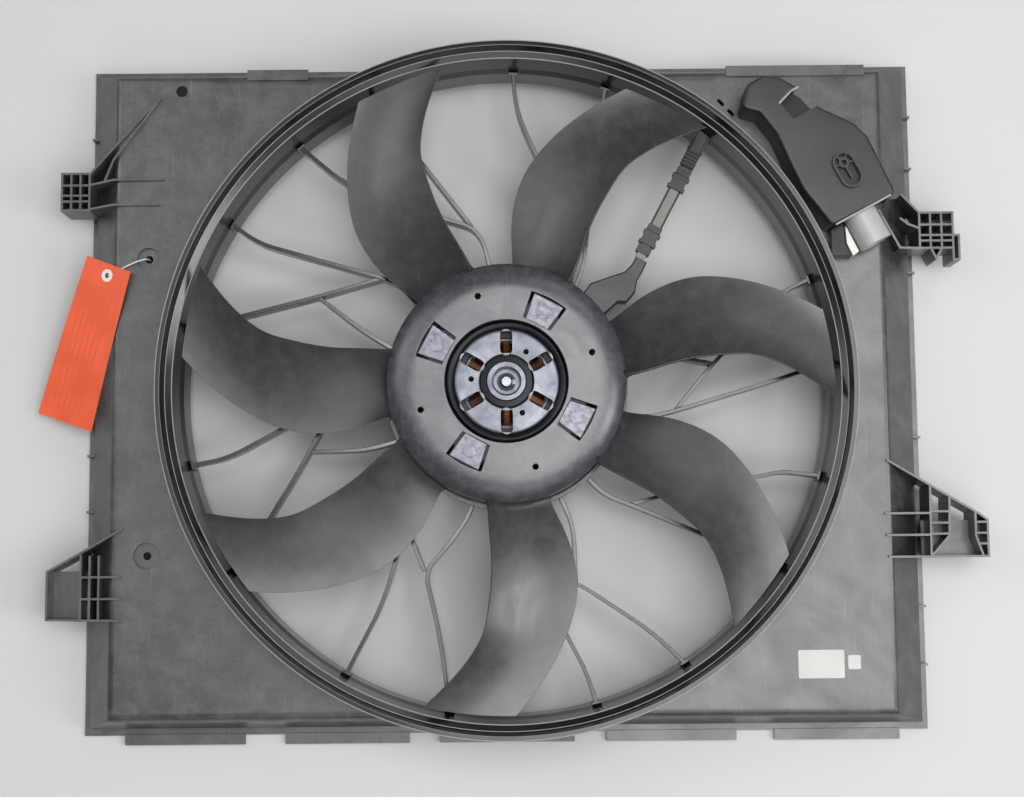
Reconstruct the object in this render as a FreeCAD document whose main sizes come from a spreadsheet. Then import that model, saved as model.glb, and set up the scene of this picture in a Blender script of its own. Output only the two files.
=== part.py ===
"""Engine cooling fan module: shroud, seven-blade fan and external-rotor motor.

Millimetres. The module lies with its radiator side down: Z is the fan axis,
pointing to the engine side, and the origin is on that axis in the plane of the
shroud's rim. X runs along the long side of the shroud.
"""
import FreeCAD, Part
import Sketcher
import math
import os

from FreeCAD import Placement, Rotation, Vector

Constraint = Sketcher.Constraint

# Sizes.
SIZES = (
    ("side_margin", 71.0, "rim of the shroud beyond the lip, at each end along X"),
    ("edge_margin", 1.5, "rim of the shroud beyond the lip, at each end along Y"),
    ("shroud_shift_x", -3.0, "middle of the shroud from the fan axis, X"),
    ("shroud_shift_y", -0.3, "middle of the shroud from the fan axis, Y"),
    ("panel_depth", 44.0, "top of the flat panel above the rim"),
    ("panel_wall", 2.5, "wall of the shroud panel"),
    ("flange_width", 7.0, "flat flange round the rim"),
    ("skirt_height", 14.0, "upright wall between flange and shoulder"),
    ("shoulder_left", 23.0, "inward reach of the left shoulder"),
    ("shoulder_right", 28.0, "inward reach of the right shoulder"),
    ("shoulder_end", 9.0, "inward reach of the top and bottom shoulders"),
    ("shoulder_round", 8.0, "outer radius where shoulder meets panel"),
    ("barrel_radius", 270.5, "bore of the ring that the fan runs in"),
    ("barrel_wall", 2.6, "wall of the ring"),
    ("barrel_foot", 20.0, "lower edge of the ring"),
    ("throat_top", 48.0, "height where the bore starts to open"),
    ("ledge_height", 79.0, "height of the ledge inside the lip"),
    ("rim_top", 90.0, "top of the lip"),
    ("flare_reach", 4.0, "opening of the bore up to the ledge"),
    ("ledge_width", 5.0, "width of the ledge"),
    ("lip_reach", 16.0, "outer edge of the lip beyond the bore"),
    ("lip_width", 4.5, "flat top of the lip"),
    ("lip_fall", 5.0, "height of the lip's outer edge"),
    ("gusset_count", 12, "gussets under the lip"),
    ("seat_gap", 0.05, "gap between pieces that seat on one another"),
    ("ring_radius", 101.5, "outside of the motor mount ring"),
    ("ring_wall", 3.0, "wall of the motor mount ring"),
    ("ring_top", 47.0, "top of the motor mount ring"),
    ("ring_foot", 29.0, "bottom of the motor mount ring"),
    ("strut_thick", 3.2, "thickness of the stator struts"),
    ("strut_rise", 6.5, "rise of the struts from ring to barrel"),
    ("strut_depth", 17.0, "depth of the struts"),
    ("rib_wall", 1.8, "ribs of the brackets"),
    ("rib_rise", 2.6, "height of the ribs above the panel"),
    ("hub_radius", 96.9, "outside of the fan hub"),
    ("hub_wall", 3.0, "wall of the fan hub"),
    ("hub_top", 107.0, "flat face of the fan hub"),
    ("hub_foot", 53.0, "lower edge of the fan hub"),
    ("hub_face_radius", 75.0, "edge of the flat face"),
    ("hub_edge_drop", 10.0, "fall of the face from the flat to the edge"),
    ("hub_bore", 50.0, "opening in the middle of the hub"),
    ("hub_plate", 4.0, "thickness of the hub's face"),
    ("window_inner", 52.0, "inner edge of the lug windows"),
    ("window_outer", 74.0, "outer edge of the lug windows"),
    ("window_half", 12.5, "half width of a window at its inner edge"),
    ("window_flare", 3.5, "widening of a window to its outer edge"),
    ("lug_gap", 1.6, "gap between lug and window at the sides"),
    ("tip_gap", 3.2, "running gap between the blade tips and the bore"),
    ("blade_thick_root", 4.2, "blade thickness at the hub"),
    ("blade_thick_tip", 2.4, "blade thickness at the tip"),
    ("blade_camber", 0.055, "hollow of the blade as a part of its chord"),
    ("rotor_radius", 43.0, "outside of the steel rotor cup"),
    ("rotor_wall", 2.0, "wall of the rotor cup"),
    ("rotor_foot", 58.0, "lower edge of the rotor cup"),
    ("magnet_thick", 4.0, "magnet ring"),
    ("air_gap", 0.6, "gap between magnets and stator"),
    ("stator_foot", 64.0, "bottom of the stator stack"),
    ("stator_height", 24.0, "height of the stator stack"),
    ("tooth_count", 12, "stator teeth"),
    ("coil_thick", 2.6, "winding on each side of a tooth"),
    ("tube_radius", 14.0, "bearing tube of the motor carrier"),
    ("shaft_radius", 4.8, "motor shaft"),
    ("bearing_radius", 11.0, "outside of the bearings"),
    ("bearing_width", 7.0, "width of the bearings"),
    ("press_gap", 0.02, "gap of the shaft and bearing seats"),
    ("cover_top", 76.0, "top of the harness cover"),
    ("plug_radius", 14.25, "outside of the connector"),
    ("plug_height", 59.0, "axis of the connector above the rim"),
    ("lead_width", 8.0, "width of the flat motor lead"),
    ("lead_thick", 2.6, "thickness of the flat motor lead"),
)

doc = FreeCAD.newDocument("CoolingFan")
sheet = doc.addObject("Spreadsheet::Sheet", "Sizes")
for row, (alias, number, note) in enumerate(SIZES, start=1):
    sheet.set(f"A{row}", note)
    sheet.set(f"B{row}", str(number))
    sheet.setAlias(f"B{row}", alias)
doc.recompute()


class Size:
    """A number together with the sheet expression that it comes from."""

    def __init__(self, value, text=None):
        self.value = float(value)
        self.text = text if text is not None else f"{value:.6g}"

    def combine(self, other, sign, value):
        return Size(value, f"({self.text} {sign} {other.text})")

    def __add__(self, other):
        other = as_size(other)
        return self.combine(other, "+", self.value + other.value)

    def __sub__(self, other):
        other = as_size(other)
        return self.combine(other, "-", self.value - other.value)

    def __mul__(self, other):
        other = as_size(other)
        return self.combine(other, "*", self.value * other.value)

    def __truediv__(self, other):
        other = as_size(other)
        return self.combine(other, "/", self.value / other.value)

    def __neg__(self):
        return Size(-self.value, f"(-1 * {self.text})")

    def __radd__(self, other):
        return as_size(other) + self

    def __rsub__(self, other):
        return as_size(other) - self

    def __rmul__(self, other):
        return as_size(other) * self

    def __float__(self):
        return self.value


def as_size(item):
    """The item as a Size, when it is a plain number."""
    return item if isinstance(item, Size) else Size(item)


def size(alias):
    """The named cell of the sheet."""
    return Size(sheet.get(alias), f"Sizes.{alias}")


def bind(obj, name, item):
    """Tie a property to the expression of a size."""
    obj.setExpression(name, as_size(item).text)


# Sketches.
def new_body(label):
    """An empty body that is named after its piece."""
    body = doc.addObject("PartDesign::Body", label)
    body.Label = label
    return body


def origin_part(body, role):
    """The plane or axis of the body's own origin with this role."""
    for feature in body.Origin.OriginFeatures:
        if feature.Role == role:
            return feature
    raise ValueError(f"{body.Label} has no {role}")


def new_sketch(body, name, role="XY_Plane", offset=0.0):
    """A sketch on one of the body's origin planes, moved along its normal."""
    sketch = body.newObject("Sketcher::SketchObject", f"{body.Name}_{name}")
    sketch.AttachmentSupport = (origin_part(body, role), [""])
    sketch.MapMode = "FlatFace"
    bind(sketch, "AttachmentOffset.Base.z", offset)
    return sketch


def pin_point(sketch, geometry, position, x, y):
    """Hold one point of a sketch at (x, y) from the sketch origin."""
    for kind, item, axis in (("DistanceX", x, -2), ("DistanceY", y, -1)):
        item = as_size(item)
        if item.text == "0":
            sketch.addConstraint(Constraint("PointOnObject", geometry, position, axis))
            continue
        index = sketch.addConstraint(Constraint(kind, -1, 1, geometry, position, item.value))
        bind(sketch, f"Constraints[{index}]", item)


def arc_between(start, end, radius):
    """Arc from start to end: a positive radius turns left, a negative right."""
    chord = end - start
    rise = math.sqrt(max(radius * radius - chord.Length ** 2 / 4.0, 0.0))
    left = Vector(-chord.y, chord.x, 0).normalize()
    centre = (start + end) * 0.5 + left * math.copysign(rise, radius)
    circle = Part.Circle(centre, Vector(0, 0, 1), abs(radius))
    angles = [math.atan2(p.y - centre.y, p.x - centre.x) for p in (start, end)]
    if radius < 0:
        angles.reverse()
    return Part.ArcOfCircle(circle, *angles)


def outline(sketch, corners):
    """Closed outline: each corner is (x, y), with a radius if an arc leaves it."""
    points = [Vector(float(corner[0]), float(corner[1]), 0) for corner in corners]
    first = sketch.GeometryCount
    starts, ends = [], []
    for index, corner in enumerate(corners):
        start, end = points[index], points[(index + 1) % len(points)]
        if len(corner) == 3:
            geometry = sketch.addGeometry(arc_between(start, end, float(corner[2])), False)
            sketch.addConstraint(Constraint("Radius", geometry, abs(float(corner[2]))))
            forward = float(corner[2]) > 0
        else:
            geometry = sketch.addGeometry(Part.LineSegment(start, end), False)
            forward = True
        starts.append((geometry, 1 if forward else 2))
        ends.append((geometry, 2 if forward else 1))
    for index, corner in enumerate(corners):
        follower = starts[(index + 1) % len(corners)]
        sketch.addConstraint(Constraint("Coincident", *ends[index], *follower))
        pin_point(sketch, *starts[index], corner[0], corner[1])
    return first


def rectangle(sketch, x_low, y_low, x_high, y_high):
    """Closed rectangle between two opposite corners."""
    return outline(sketch, ((x_low, y_low), (x_high, y_low), (x_high, y_high), (x_low, y_high)))


def circle(sketch, x, y, radius):
    """Circle with its centre at (x, y)."""
    radius = as_size(radius)
    shape = Part.Circle(Vector(float(x), float(y), 0), Vector(0, 0, 1), radius.value)
    index = sketch.addGeometry(shape, False)
    pin_point(sketch, index, 3, x, y)
    bind(sketch, f"Constraints[{sketch.addConstraint(Constraint('Radius', index, radius.value))}]", radius)
    return index


def feature(body, kind, name, sketch, **sizes):
    """A feature made from one sketch, its sizes bound to the sheet."""
    made = body.newObject(f"PartDesign::{kind}", f"{body.Name}_{name}")
    made.Profile = (sketch, [""])
    for prop, item in sizes.items():
        if isinstance(item, (bool, str)):
            setattr(made, prop, item)
        else:
            bind(made, prop, item)
    body.Tip = made
    return made


def turned(body, name, corners, kind="Revolution"):
    """Ring or disc: an (radius, height) outline turned round the fan axis."""
    sketch = new_sketch(body, f"{name}_profile", "XZ_Plane")
    outline(sketch, corners)
    made = body.newObject(f"PartDesign::{kind}", f"{body.Name}_{name}")
    made.Profile = (sketch, [""])
    made.ReferenceAxis = (sketch, ["V_Axis"])
    made.Angle = 360
    body.Tip = made
    return made


def round_pattern(body, name, originals, count, angle=360.0):
    """Copies of features, evenly spaced round the fan axis."""
    made = body.newObject("PartDesign::PolarPattern", f"{body.Name}_{name}")
    made.Originals = originals
    made.Axis = (origin_part(body, "Z_Axis"), [""])
    made.Angle = angle
    bind(made, "Occurrences", count)
    body.Tip = made
    return made


# Primitives.
def block(name, x, y, z, length, width, height, turn=0.0):
    """Box with its corner at (x, y, z), turned about the vertical through it."""
    made = doc.addObject("Part::Box", name)
    for prop, item in (("Length", length), ("Width", width), ("Height", height)):
        bind(made, prop, item)
    made.Placement = Placement(Vector(float(x), float(y), float(z)), Rotation(Vector(0, 0, 1), turn))
    for axis, item in (("x", x), ("y", y), ("z", z)):
        bind(made, f"Placement.Base.{axis}", item)
    return made


def rod(name, x, y, z, radius, height):
    """Upright cylinder standing at (x, y, z)."""
    made = doc.addObject("Part::Cylinder", name)
    bind(made, "Radius", radius)
    bind(made, "Height", height)
    made.Placement = Placement(Vector(float(x), float(y), float(z)), Rotation())
    for axis, item in (("x", x), ("y", y), ("z", z)):
        bind(made, f"Placement.Base.{axis}", item)
    return made


def rib(name, start, end, low, high, thick=None):
    """Upright rib between two points in plan, centred on its line."""
    thick = size("rib_wall") if thick is None else as_size(thick)
    dx, dy = float(end[0]) - float(start[0]), float(end[1]) - float(start[1])
    reach, turn = math.hypot(dx, dy), math.degrees(math.atan2(dy, dx))
    side_x, side_y = dy / reach / 2.0, -dx / reach / 2.0
    x = as_size(start[0]) + thick * side_x
    y = as_size(start[1]) + thick * side_y
    return block(name, x, y, low, reach, thick, as_size(high) - low, turn)


def fused(label, shapes):
    """Union of objects."""
    made = doc.addObject("Part::MultiFuse", label)
    made.Shapes = shapes
    made.Refine = True
    made.Label = label
    return made


def carved(label, base, tool):
    """First object less the second."""
    made = doc.addObject("Part::Cut", label)
    made.Base, made.Tool = base, tool
    made.Refine = True
    made.Label = label
    return made


def solid_piece(label, shape):
    """A piece whose shape is worked out here from the sizes."""
    made = doc.addObject("Part::Feature", label)
    made.Shape = shape
    made.Placement = Placement()
    made.Label = label
    return made


def polar(radius, angle, z=0.0):
    """Point at a radius and an angle in degrees round the fan axis."""
    turn = math.radians(angle)
    return Vector(float(radius) * math.cos(turn), float(radius) * math.sin(turn), float(z))


def solid_rod(radius, low, high, centre=Vector(0, 0, 0)):
    """Upright cylinder as a plain shape."""
    return Part.makeCylinder(radius, high - low, centre + Vector(0, 0, low))


def turned_solid(points):
    """Plain ring from (radius, height) points, turned round the fan axis."""
    ring = [Vector(radius, 0, height) for radius, height in points]
    face = Part.Face(Part.makePolygon(ring + ring[:1]))
    return face.revolve(Vector(0, 0, 0), Vector(0, 0, 1), 360)


def prism(points, low, high):
    """Upright prism over a closed polygon in plan."""
    corners = [Vector(x, y, low) for x, y in points]
    return Part.Face(Part.makePolygon(corners + corners[:1])).extrude(Vector(0, 0, high - low))


pieces = []

# Shroud panel.
bore = size("barrel_radius")
lip = bore + size("lip_reach")
half_length = lip + size("side_margin")
half_height = lip + size("edge_margin")
panel_left = size("shroud_shift_x") - half_length
panel_right = size("shroud_shift_x") + half_length
panel_low = size("shroud_shift_y") - half_height
panel_high = size("shroud_shift_y") + half_height
wall_left = panel_left + size("flange_width")
wall_right = panel_right - size("flange_width")
panel_top = size("panel_depth")


def shoulder_prism(label, role, near, far, near_reach, far_reach, inset, foot, run):
    """Long prism with the shroud's section across one axis, its edges rounded."""
    body = new_body(label)
    top, skirt = panel_top - inset, size("skirt_height")
    sketch = new_sketch(body, "section", role, run / -2)
    outline(sketch, (
        (near + inset, foot), (far - inset, foot), (far - inset, skirt),
        (far - inset - far_reach, top), (near + inset + near_reach, top), (near + inset, skirt)))
    prism_pad = feature(body, "Pad", "prism", sketch, Length=run)
    doc.recompute()
    edges = [f"Edge{index}" for index, edge in enumerate(prism_pad.Shape.Edges, start=1)
             if edge.Length > float(run) - 1.0
             and all(abs(vertex.Z - float(top)) < 0.01 for vertex in edge.Vertexes)]
    rounding = body.newObject("PartDesign::Fillet", f"{label}_round")
    rounding.Base = (prism_pad, edges)
    bind(rounding, "Radius", size("shoulder_round") - inset)
    body.Tip = rounding
    return body


def shroud_form(label, inset, foot):
    """Solid up to the panel's outer skin, or to its inner skin when inset."""
    lengthwise = shoulder_prism(
        f"{label}_lengthwise", "XZ_Plane", wall_left, wall_right, size("shoulder_left"),
        size("shoulder_right"), inset, foot, half_height * 4)
    crosswise = shoulder_prism(
        f"{label}_crosswise", "YZ_Plane", panel_low + size("flange_width"),
        panel_high - size("flange_width"), size("shoulder_end"), size("shoulder_end"),
        inset, foot, half_length * 4)
    made = doc.addObject("Part::MultiCommon", label)
    made.Shapes = [lengthwise, crosswise]
    return made


outer_form = shroud_form("shroud_outer_form", Size(0.0, "0"), 0.0)
inner_form = shroud_form("shroud_inner_form", size("panel_wall"), -1.0)

flange = block("rim_flange", panel_left, panel_low, 0.0, half_length * 2,
               half_height * 2, size("panel_wall"))
raised = [flange]
TAB_REACH = 8.0
for index, (start, end) in enumerate(((-323, -221), (-187, -82), (-56, 58), (85, 195), (227, 333))):
    x = size("shroud_shift_x") + start
    raised.append(block(f"lower_tab_{index}", x, panel_low - TAB_REACH, 1.5, end - start,
                        TAB_REACH + 1.0, size("panel_wall")))
for index, (start, end) in enumerate(((-217, -165), (193, 311))):
    x = size("shroud_shift_x") + start
    y = panel_high - size("flange_width") - size("shoulder_end") - 4.0
    raised.append(block(f"upper_strip_{index}", x, y, panel_top - size("panel_wall"), end - start,
                        9.0, size("panel_wall") + 1.2))
for index, height in enumerate((239, 193, 101, -42, -186, -235)):
    raised.append(block(f"right_tick_{index}", wall_right - 1.0, height, 0.0,
                        size("flange_width") + 1.0, size("rib_wall"), 11.0))
for index, height in enumerate((-52, -100, 60, 225)):
    raised.append(block(f"left_tick_{index}", panel_left, height, 0.0,
                        size("flange_width") + 1.0, size("rib_wall"), 11.0))

# The harness keeps its place beside the lip: its points are offsets from this one.
HARNESS_TURN = 40.0
harness_x = lip * math.cos(math.radians(HARNESS_TURN))
harness_y = lip * math.sin(math.radians(HARNESS_TURN))

# Fixing holes, each in a cup sunk below the panel: (X, Y, cup, hole).
STRING_HOLE = (wall_left + 50.8, size("shroud_shift_y") + 113.9)
cups, cup_walls = [], []
cup_floor = panel_top - 3.5 - size("panel_wall")
for index, (x, y, cup, hole) in enumerate((
        (STRING_HOLE[0], STRING_HOLE[1], 9.5, 3.4),
        (wall_left + 52.5, size("shroud_shift_y") - 136.7, 11.0, 3.4))):
    cup_walls.append(rod(f"cup_wall_{index}", x, y, cup_floor, cup + size("panel_wall"), 5.0))
    cups.append(rod(f"cup_{index}", x, y, cup_floor + size("panel_wall"), cup, 10.0))
    cups.append(rod(f"cup_hole_{index}", x, y, cup_floor - 5.0, hole, 20.0))
corner_hole = rod("corner_hole", wall_left + 77.5, panel_high - 29.1, panel_top - 20.0, 4.9, 40.0)
lead_hole = rod("lead_hole", harness_x + 2.5, harness_y + 41.8, panel_top - 20.0, 5.5, 40.0)
slots = [block(f"panel_slot_{index}", harness_x + dx, harness_y + dy, panel_top - 20.0, 7.0, 3.0, 40.0, -48.0)
         for index, (dx, dy) in enumerate(((-38.0, 62.3), (-29.5, 53.3)))]
opening = rod("fan_opening", 0.0, 0.0, -5.0,
              size("barrel_radius") + size("barrel_wall") + size("seat_gap"), 80.0)

panel_outside = fused("panel_outside", [outer_form] + raised)
cavity = carved("panel_cavity", inner_form, fused("cup_bosses", cup_walls))
panel_shell = carved("panel_shell", panel_outside, cavity)
pieces.append(carved("shroud_panel", panel_shell,
                     fused("panel_cuts", cups + [corner_hole, lead_hole, opening] + slots)))

# Fan barrel.
thin = size("barrel_wall")
ledge_in = bore + size("flare_reach")
ledge_out = ledge_in + size("ledge_width")
ledge, throat, rim = size("ledge_height"), size("throat_top"), size("rim_top")
fan_barrel = new_body("fan_barrel")
turned(fan_barrel, "wall", (
    (bore, size("barrel_foot")),
    (bore + thin, size("barrel_foot")),
    (bore + thin, throat),
    (bore + size("flare_reach") / 2 + thin, throat + 8.0),
    (ledge_in + thin, ledge - thin),
    (ledge_out + thin, ledge + 3.0 - thin),
    (lip - thin, rim - size("lip_fall")),
    (lip, rim - size("lip_fall")),
    (lip, rim),
    (lip - size("lip_width"), rim),
    (ledge_out, ledge + 3.0),
    (ledge_in, ledge),
    (bore + size("flare_reach") / 2, throat + 8.0),
    (bore, throat)))
gusset_sketch = new_sketch(fan_barrel, "gusset_outline", "XZ_Plane", size("rib_wall") / -2)
outline(gusset_sketch, (
    (bore + 3.9, throat + 10.0),
    (lip - 1.3, rim - size("lip_fall") - 3.0),
    (lip - 1.3, rim - size("lip_fall") + 0.5),
    (ledge_out + 0.8, ledge + 1.8),
    (ledge_in + 1.2, ledge - 3.0)))
gusset = feature(fan_barrel, "Pad", "gusset", gusset_sketch, Length=size("rib_wall"))
round_pattern(fan_barrel, "gussets", [gusset], size("gusset_count"))
pieces.append(fan_barrel)

# Motor mount ring.
ring_radius, ring_wall = size("ring_radius"), size("ring_wall")
ring_top, ring_foot = size("ring_top"), size("ring_foot")
motor_ring = new_body("motor_ring")
turned(motor_ring, "wall", (
    (ring_radius - ring_wall - 16.0, ring_foot),
    (ring_radius, ring_foot),
    (ring_radius, ring_top),
    (ring_radius - ring_wall, ring_top),
    (ring_radius - ring_wall, ring_foot + ring_wall),
    (ring_radius - ring_wall - 16.0, ring_foot + ring_wall)))
boss_sketch = new_sketch(motor_ring, "boss_circle", "XY_Plane", ring_foot)
SCREW_CIRCLE = ring_radius - ring_wall - 9.0
circle(boss_sketch, SCREW_CIRCLE, 0, 7.0)
boss = feature(motor_ring, "Pad", "boss", boss_sketch, Length=ring_wall + 4.0)
round_pattern(motor_ring, "bosses", [boss], 3)
pilot_sketch = new_sketch(motor_ring, "pilot_circle", "XY_Plane", ring_foot + ring_wall + 4.0)
circle(pilot_sketch, SCREW_CIRCLE, 0, 2.6)
pilot = feature(motor_ring, "Pocket", "pilot", pilot_sketch, Length=20.0)
round_pattern(motor_ring, "pilots", [pilot], 3)
pieces.append(motor_ring)

# Stator struts.
# Each route is a list of (share, angle): share 0 is on the motor mount ring and
# 1 on the bore of the barrel. Branches stop at the struts listed before them.
STRUTS = (
    ((0.0, 97.2), (0.157, 98.6), (0.234, 101.6), (0.31, 109.4), (0.69, 127.6), (1.0, 129.9)),
    ((0.234, 101.6), (0.6, 109.9), (1.0, 114.3)),
    ((0.0, 55.4), (0.11, 57.3), (0.222, 60.6), (0.595, 82.7), (0.81, 87.6), (1.0, 88.4)),
    ((0.222, 60.6), (0.6, 68.5), (1.0, 71.5)),
    ((0.0, -12.4), (0.115, -12.0), (0.24, -8.0), (0.713, 1.0), (1.0, 4.2)),
    ((0.24, -8.0), (0.43, 6.5), (0.86, 19.0), (1.0, 19.4)),
    ((0.43, 6.5), (0.3, 9.1), (0.0, 23.0)),
    ((0.0, -48.4), (0.11, -48.1), (0.234, -43.9), (0.57, -37.6), (1.0, -33.6)),
    ((0.234, -43.9), (0.46, -27.5), (0.69, -20.6), (0.81, -17.4), (1.0, -16.2)),
    ((0.0, -64.3), (0.151, -64.6), (0.411, -70.9)),
    ((0.0, -88.9), (0.15, -86.5), (0.317, -81.5), (0.411, -70.9), (0.784, -59.9), (1.0, -57.7)),
    ((0.317, -81.5), (0.624, -77.2), (0.84, -74.9), (1.0, -74.7)),
    ((0.0, -106.8), (0.08, -107.6), (0.24, -111.2), (0.388, -114.6), (0.654, -105.6), (1.0, -100.4)),
    ((0.0, -130.2), (0.216, -128.7), (0.417, -123.0), (0.63, -120.3), (1.0, -119.7)),
    ((0.216, -128.7), (0.28, -122.5), (0.388, -114.6)),
    ((0.0, 173.1), (0.228, 180.8), (0.511, 189.5), (0.825, 193.7), (1.0, 193.3)),
    ((0.228, 180.8), (0.423, 197.4), (0.713, 208.1), (1.0, 213.6)),
    ((0.0, 205.2), (0.157, 203.2), (0.423, 197.4)),
    ((0.0, 136.2), (0.145, 135.0), (0.234, 137.6), (0.837, 149.1), (1.0, 148.5)),
    ((0.234, 137.6), (0.447, 153.4), (0.754, 163.8), (1.0, 168.9)),
    ((0.0, 160.0), (0.169, 157.6), (0.447, 153.4)),
    ((0.0, 39.0), (0.325, 44.0), (1.0, 51.8)),
)


def route_point(share, angle, z=0.0):
    """Point between the motor mount ring (0) and the barrel (1)."""
    inner = float(ring_radius)
    return polar(inner + share * (float(bore) - inner), angle, z)


def smooth_wire(points, bend=0.45):
    """Straight runs joined by arcs that are as large as the runs allow."""
    edges, last = [], points[0]
    for index in range(1, len(points) - 1):
        before, corner, after = points[index - 1:index + 2]
        back, ahead = (before - corner), (after - corner)
        reach = bend * min(back.Length, ahead.Length)
        start = corner + Vector(back).normalize() * reach
        end = corner + Vector(ahead).normalize() * reach
        turn = math.pi - back.getAngle(ahead)
        if turn < 0.01:
            continue
        bisector = (Vector(back).normalize() + Vector(ahead).normalize()).normalize()
        radius = reach / math.tan(turn / 2.0)
        middle = corner + bisector * (math.hypot(radius, reach) - radius)
        edges.append(Part.LineSegment(last, start).toShape())
        edges.append(Part.Arc(start, middle, end).toShape())
        last = end
    edges.append(Part.LineSegment(last, points[-1]).toShape())
    return Part.Wire(edges)


def swept(points, width, height, bend=0.45, lift=0.0):
    """Bar of rectangular section along a path; the section stays upright."""
    wire = smooth_wire(points, bend)
    along = Vector(points[1] - points[0])
    along.z = 0
    along.normalize()
    side = Vector(-along.y, along.x, 0) * (width / 2.0)
    low, high = Vector(0, 0, lift - height / 2.0), Vector(0, 0, lift + height / 2.0)
    start = points[0]
    corners = [start + side + low, start - side + low, start - side + high, start + side + high]
    return wire.makePipeShell([Part.makePolygon(corners + corners[:1])], True, False)


def strut_envelope():
    """Space between ring and barrel that the struts may fill."""
    inner, outer = float(ring_radius), float(bore)
    top, rise, deep = float(ring_top) - 1.0, float(size("strut_rise")), float(size("strut_depth"))
    return turned_solid(((inner, top - deep), (outer, top - deep + rise),
                         (outer, top + rise), (inner, top)))


def make_struts():
    """All struts as separate solids that end on one another's faces."""
    envelope = strut_envelope()
    width = float(size("strut_thick"))
    tall = 3.0 * float(size("strut_depth"))
    level = float(ring_top) - float(size("strut_depth")) / 2.0
    made = []
    for route in STRUTS:
        points = [route_point(share, angle, level) for share, angle in route]
        for index, neighbour in ((0, 1), (-1, -2)):
            share = route[index][0]
            if share in (0.0, 1.0):
                step = (points[index] - points[neighbour]).normalize()
                points[index] = points[index] + step * 4.0
        bar = swept(points, width, tall)
        if route[-1][0] == 1.0:
            foot = Part.makeBox(2.2, 8.0, tall, Vector(float(bore) - 2.2, -4.0, level - tall / 2))
            foot.rotate(Vector(0, 0, 0), Vector(0, 0, 1), route[-1][1])
            bar = bar.fuse(foot)
        bar = bar.common(envelope)
        for other in made:
            if other.BoundBox.intersect(bar.BoundBox):
                bar = bar.cut(other)
        solids = sorted(bar.Solids, key=lambda solid: solid.Volume)
        made.append(solids[-1].removeSplitter())
    return Part.makeCompound(made)


pieces.append(solid_piece("stator_struts", make_struts()))

# Brackets.
rib_top = panel_top + size("rib_rise")


def rib_net(label, lines, low, plates=()):
    """Bracket of upright ribs, cut to sit on the outside of the shroud."""
    walls = [rib(f"{label}_rib_{index}", start, end, level, rib_top)
             for index, (start, end, level) in enumerate(
                 (line if len(line) == 3 else (*line, low)) for line in lines)]
    raw = fused(f"{label}_net", walls + list(plates))
    return carved(label, raw, outer_form)


def spot(x_edge, dx, dy):
    """Point that keeps its distance from an edge of the shroud."""
    return (x_edge + dx, size("shroud_shift_y") + dy)


def grid_lines(x_edge, columns, rows):
    """Ribs of a rectangular grid, given the lines' places."""
    lines = [(spot(x_edge, column, rows[0]), spot(x_edge, column, rows[-1])) for column in columns]
    lines += [(spot(x_edge, columns[0] - 0.9, row), spot(x_edge, columns[-1] + 0.9, row))
              for row in rows]
    return lines


def left_spot(dx, dy):
    """Point by its distance from the left wall."""
    return spot(wall_left, dx, dy)


def right_spot(dx, dy):
    """Point by its distance from the right wall."""
    return spot(wall_right, dx, dy)



upper_left = grid_lines(wall_left, (-23.0, -15.1, -7.3, 0.4), (156.0, 163.5, 168.5, 177.3, 187.5))
upper_left += [
    (left_spot(0.4, 177.5), left_spot(21.0, 182.0)),
    (left_spot(20.4, 182.0), left_spot(63.0, 182.0)),
    (left_spot(0.4, 156.6), left_spot(20.0, 160.4)),
    (left_spot(19.4, 160.4), left_spot(60.0, 160.4)),
    (left_spot(0.8, 187.0), left_spot(11.5, 199.5)),
    (left_spot(11.0, 199.0), left_spot(59.5, 253.0)),
    (left_spot(13.2, 181.0), left_spot(20.5, 199.5)),
    (left_spot(20.2, 199.0), left_spot(60.0, 252.4)),
]
pieces.append(rib_net("upper_left_bracket", upper_left, 12.0))

left_plate = block("lower_left_plate", wall_left - 29.5, size("shroud_shift_y") - 189.0, 24.0,
                   32.0, 40.0, 3.0)
lower_left = [
    (left_spot(-29.5, -149.0), left_spot(-5.5, -136.0)),
    (left_spot(-6.0, -136.3), left_spot(32.5, -114.0)),
    (left_spot(-29.5, -148.0), left_spot(-29.5, -189.6)),
    (left_spot(-1.5, -135.0), left_spot(-1.5, -190.4)),
    (left_spot(-30.4, -188.8), left_spot(31.5, -189.8)),
    (left_spot(-1.5, -171.8), left_spot(31.5, -171.8)),
    (left_spot(-1.5, -153.8), left_spot(31.5, -153.8)),
    (left_spot(6.0, -136.0), left_spot(6.0, -189.0)),
    (left_spot(13.5, -136.0), left_spot(13.5, -189.0)),
]
pieces.append(rib_net("lower_left_bracket", lower_left, 14.0, [left_plate]))

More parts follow.
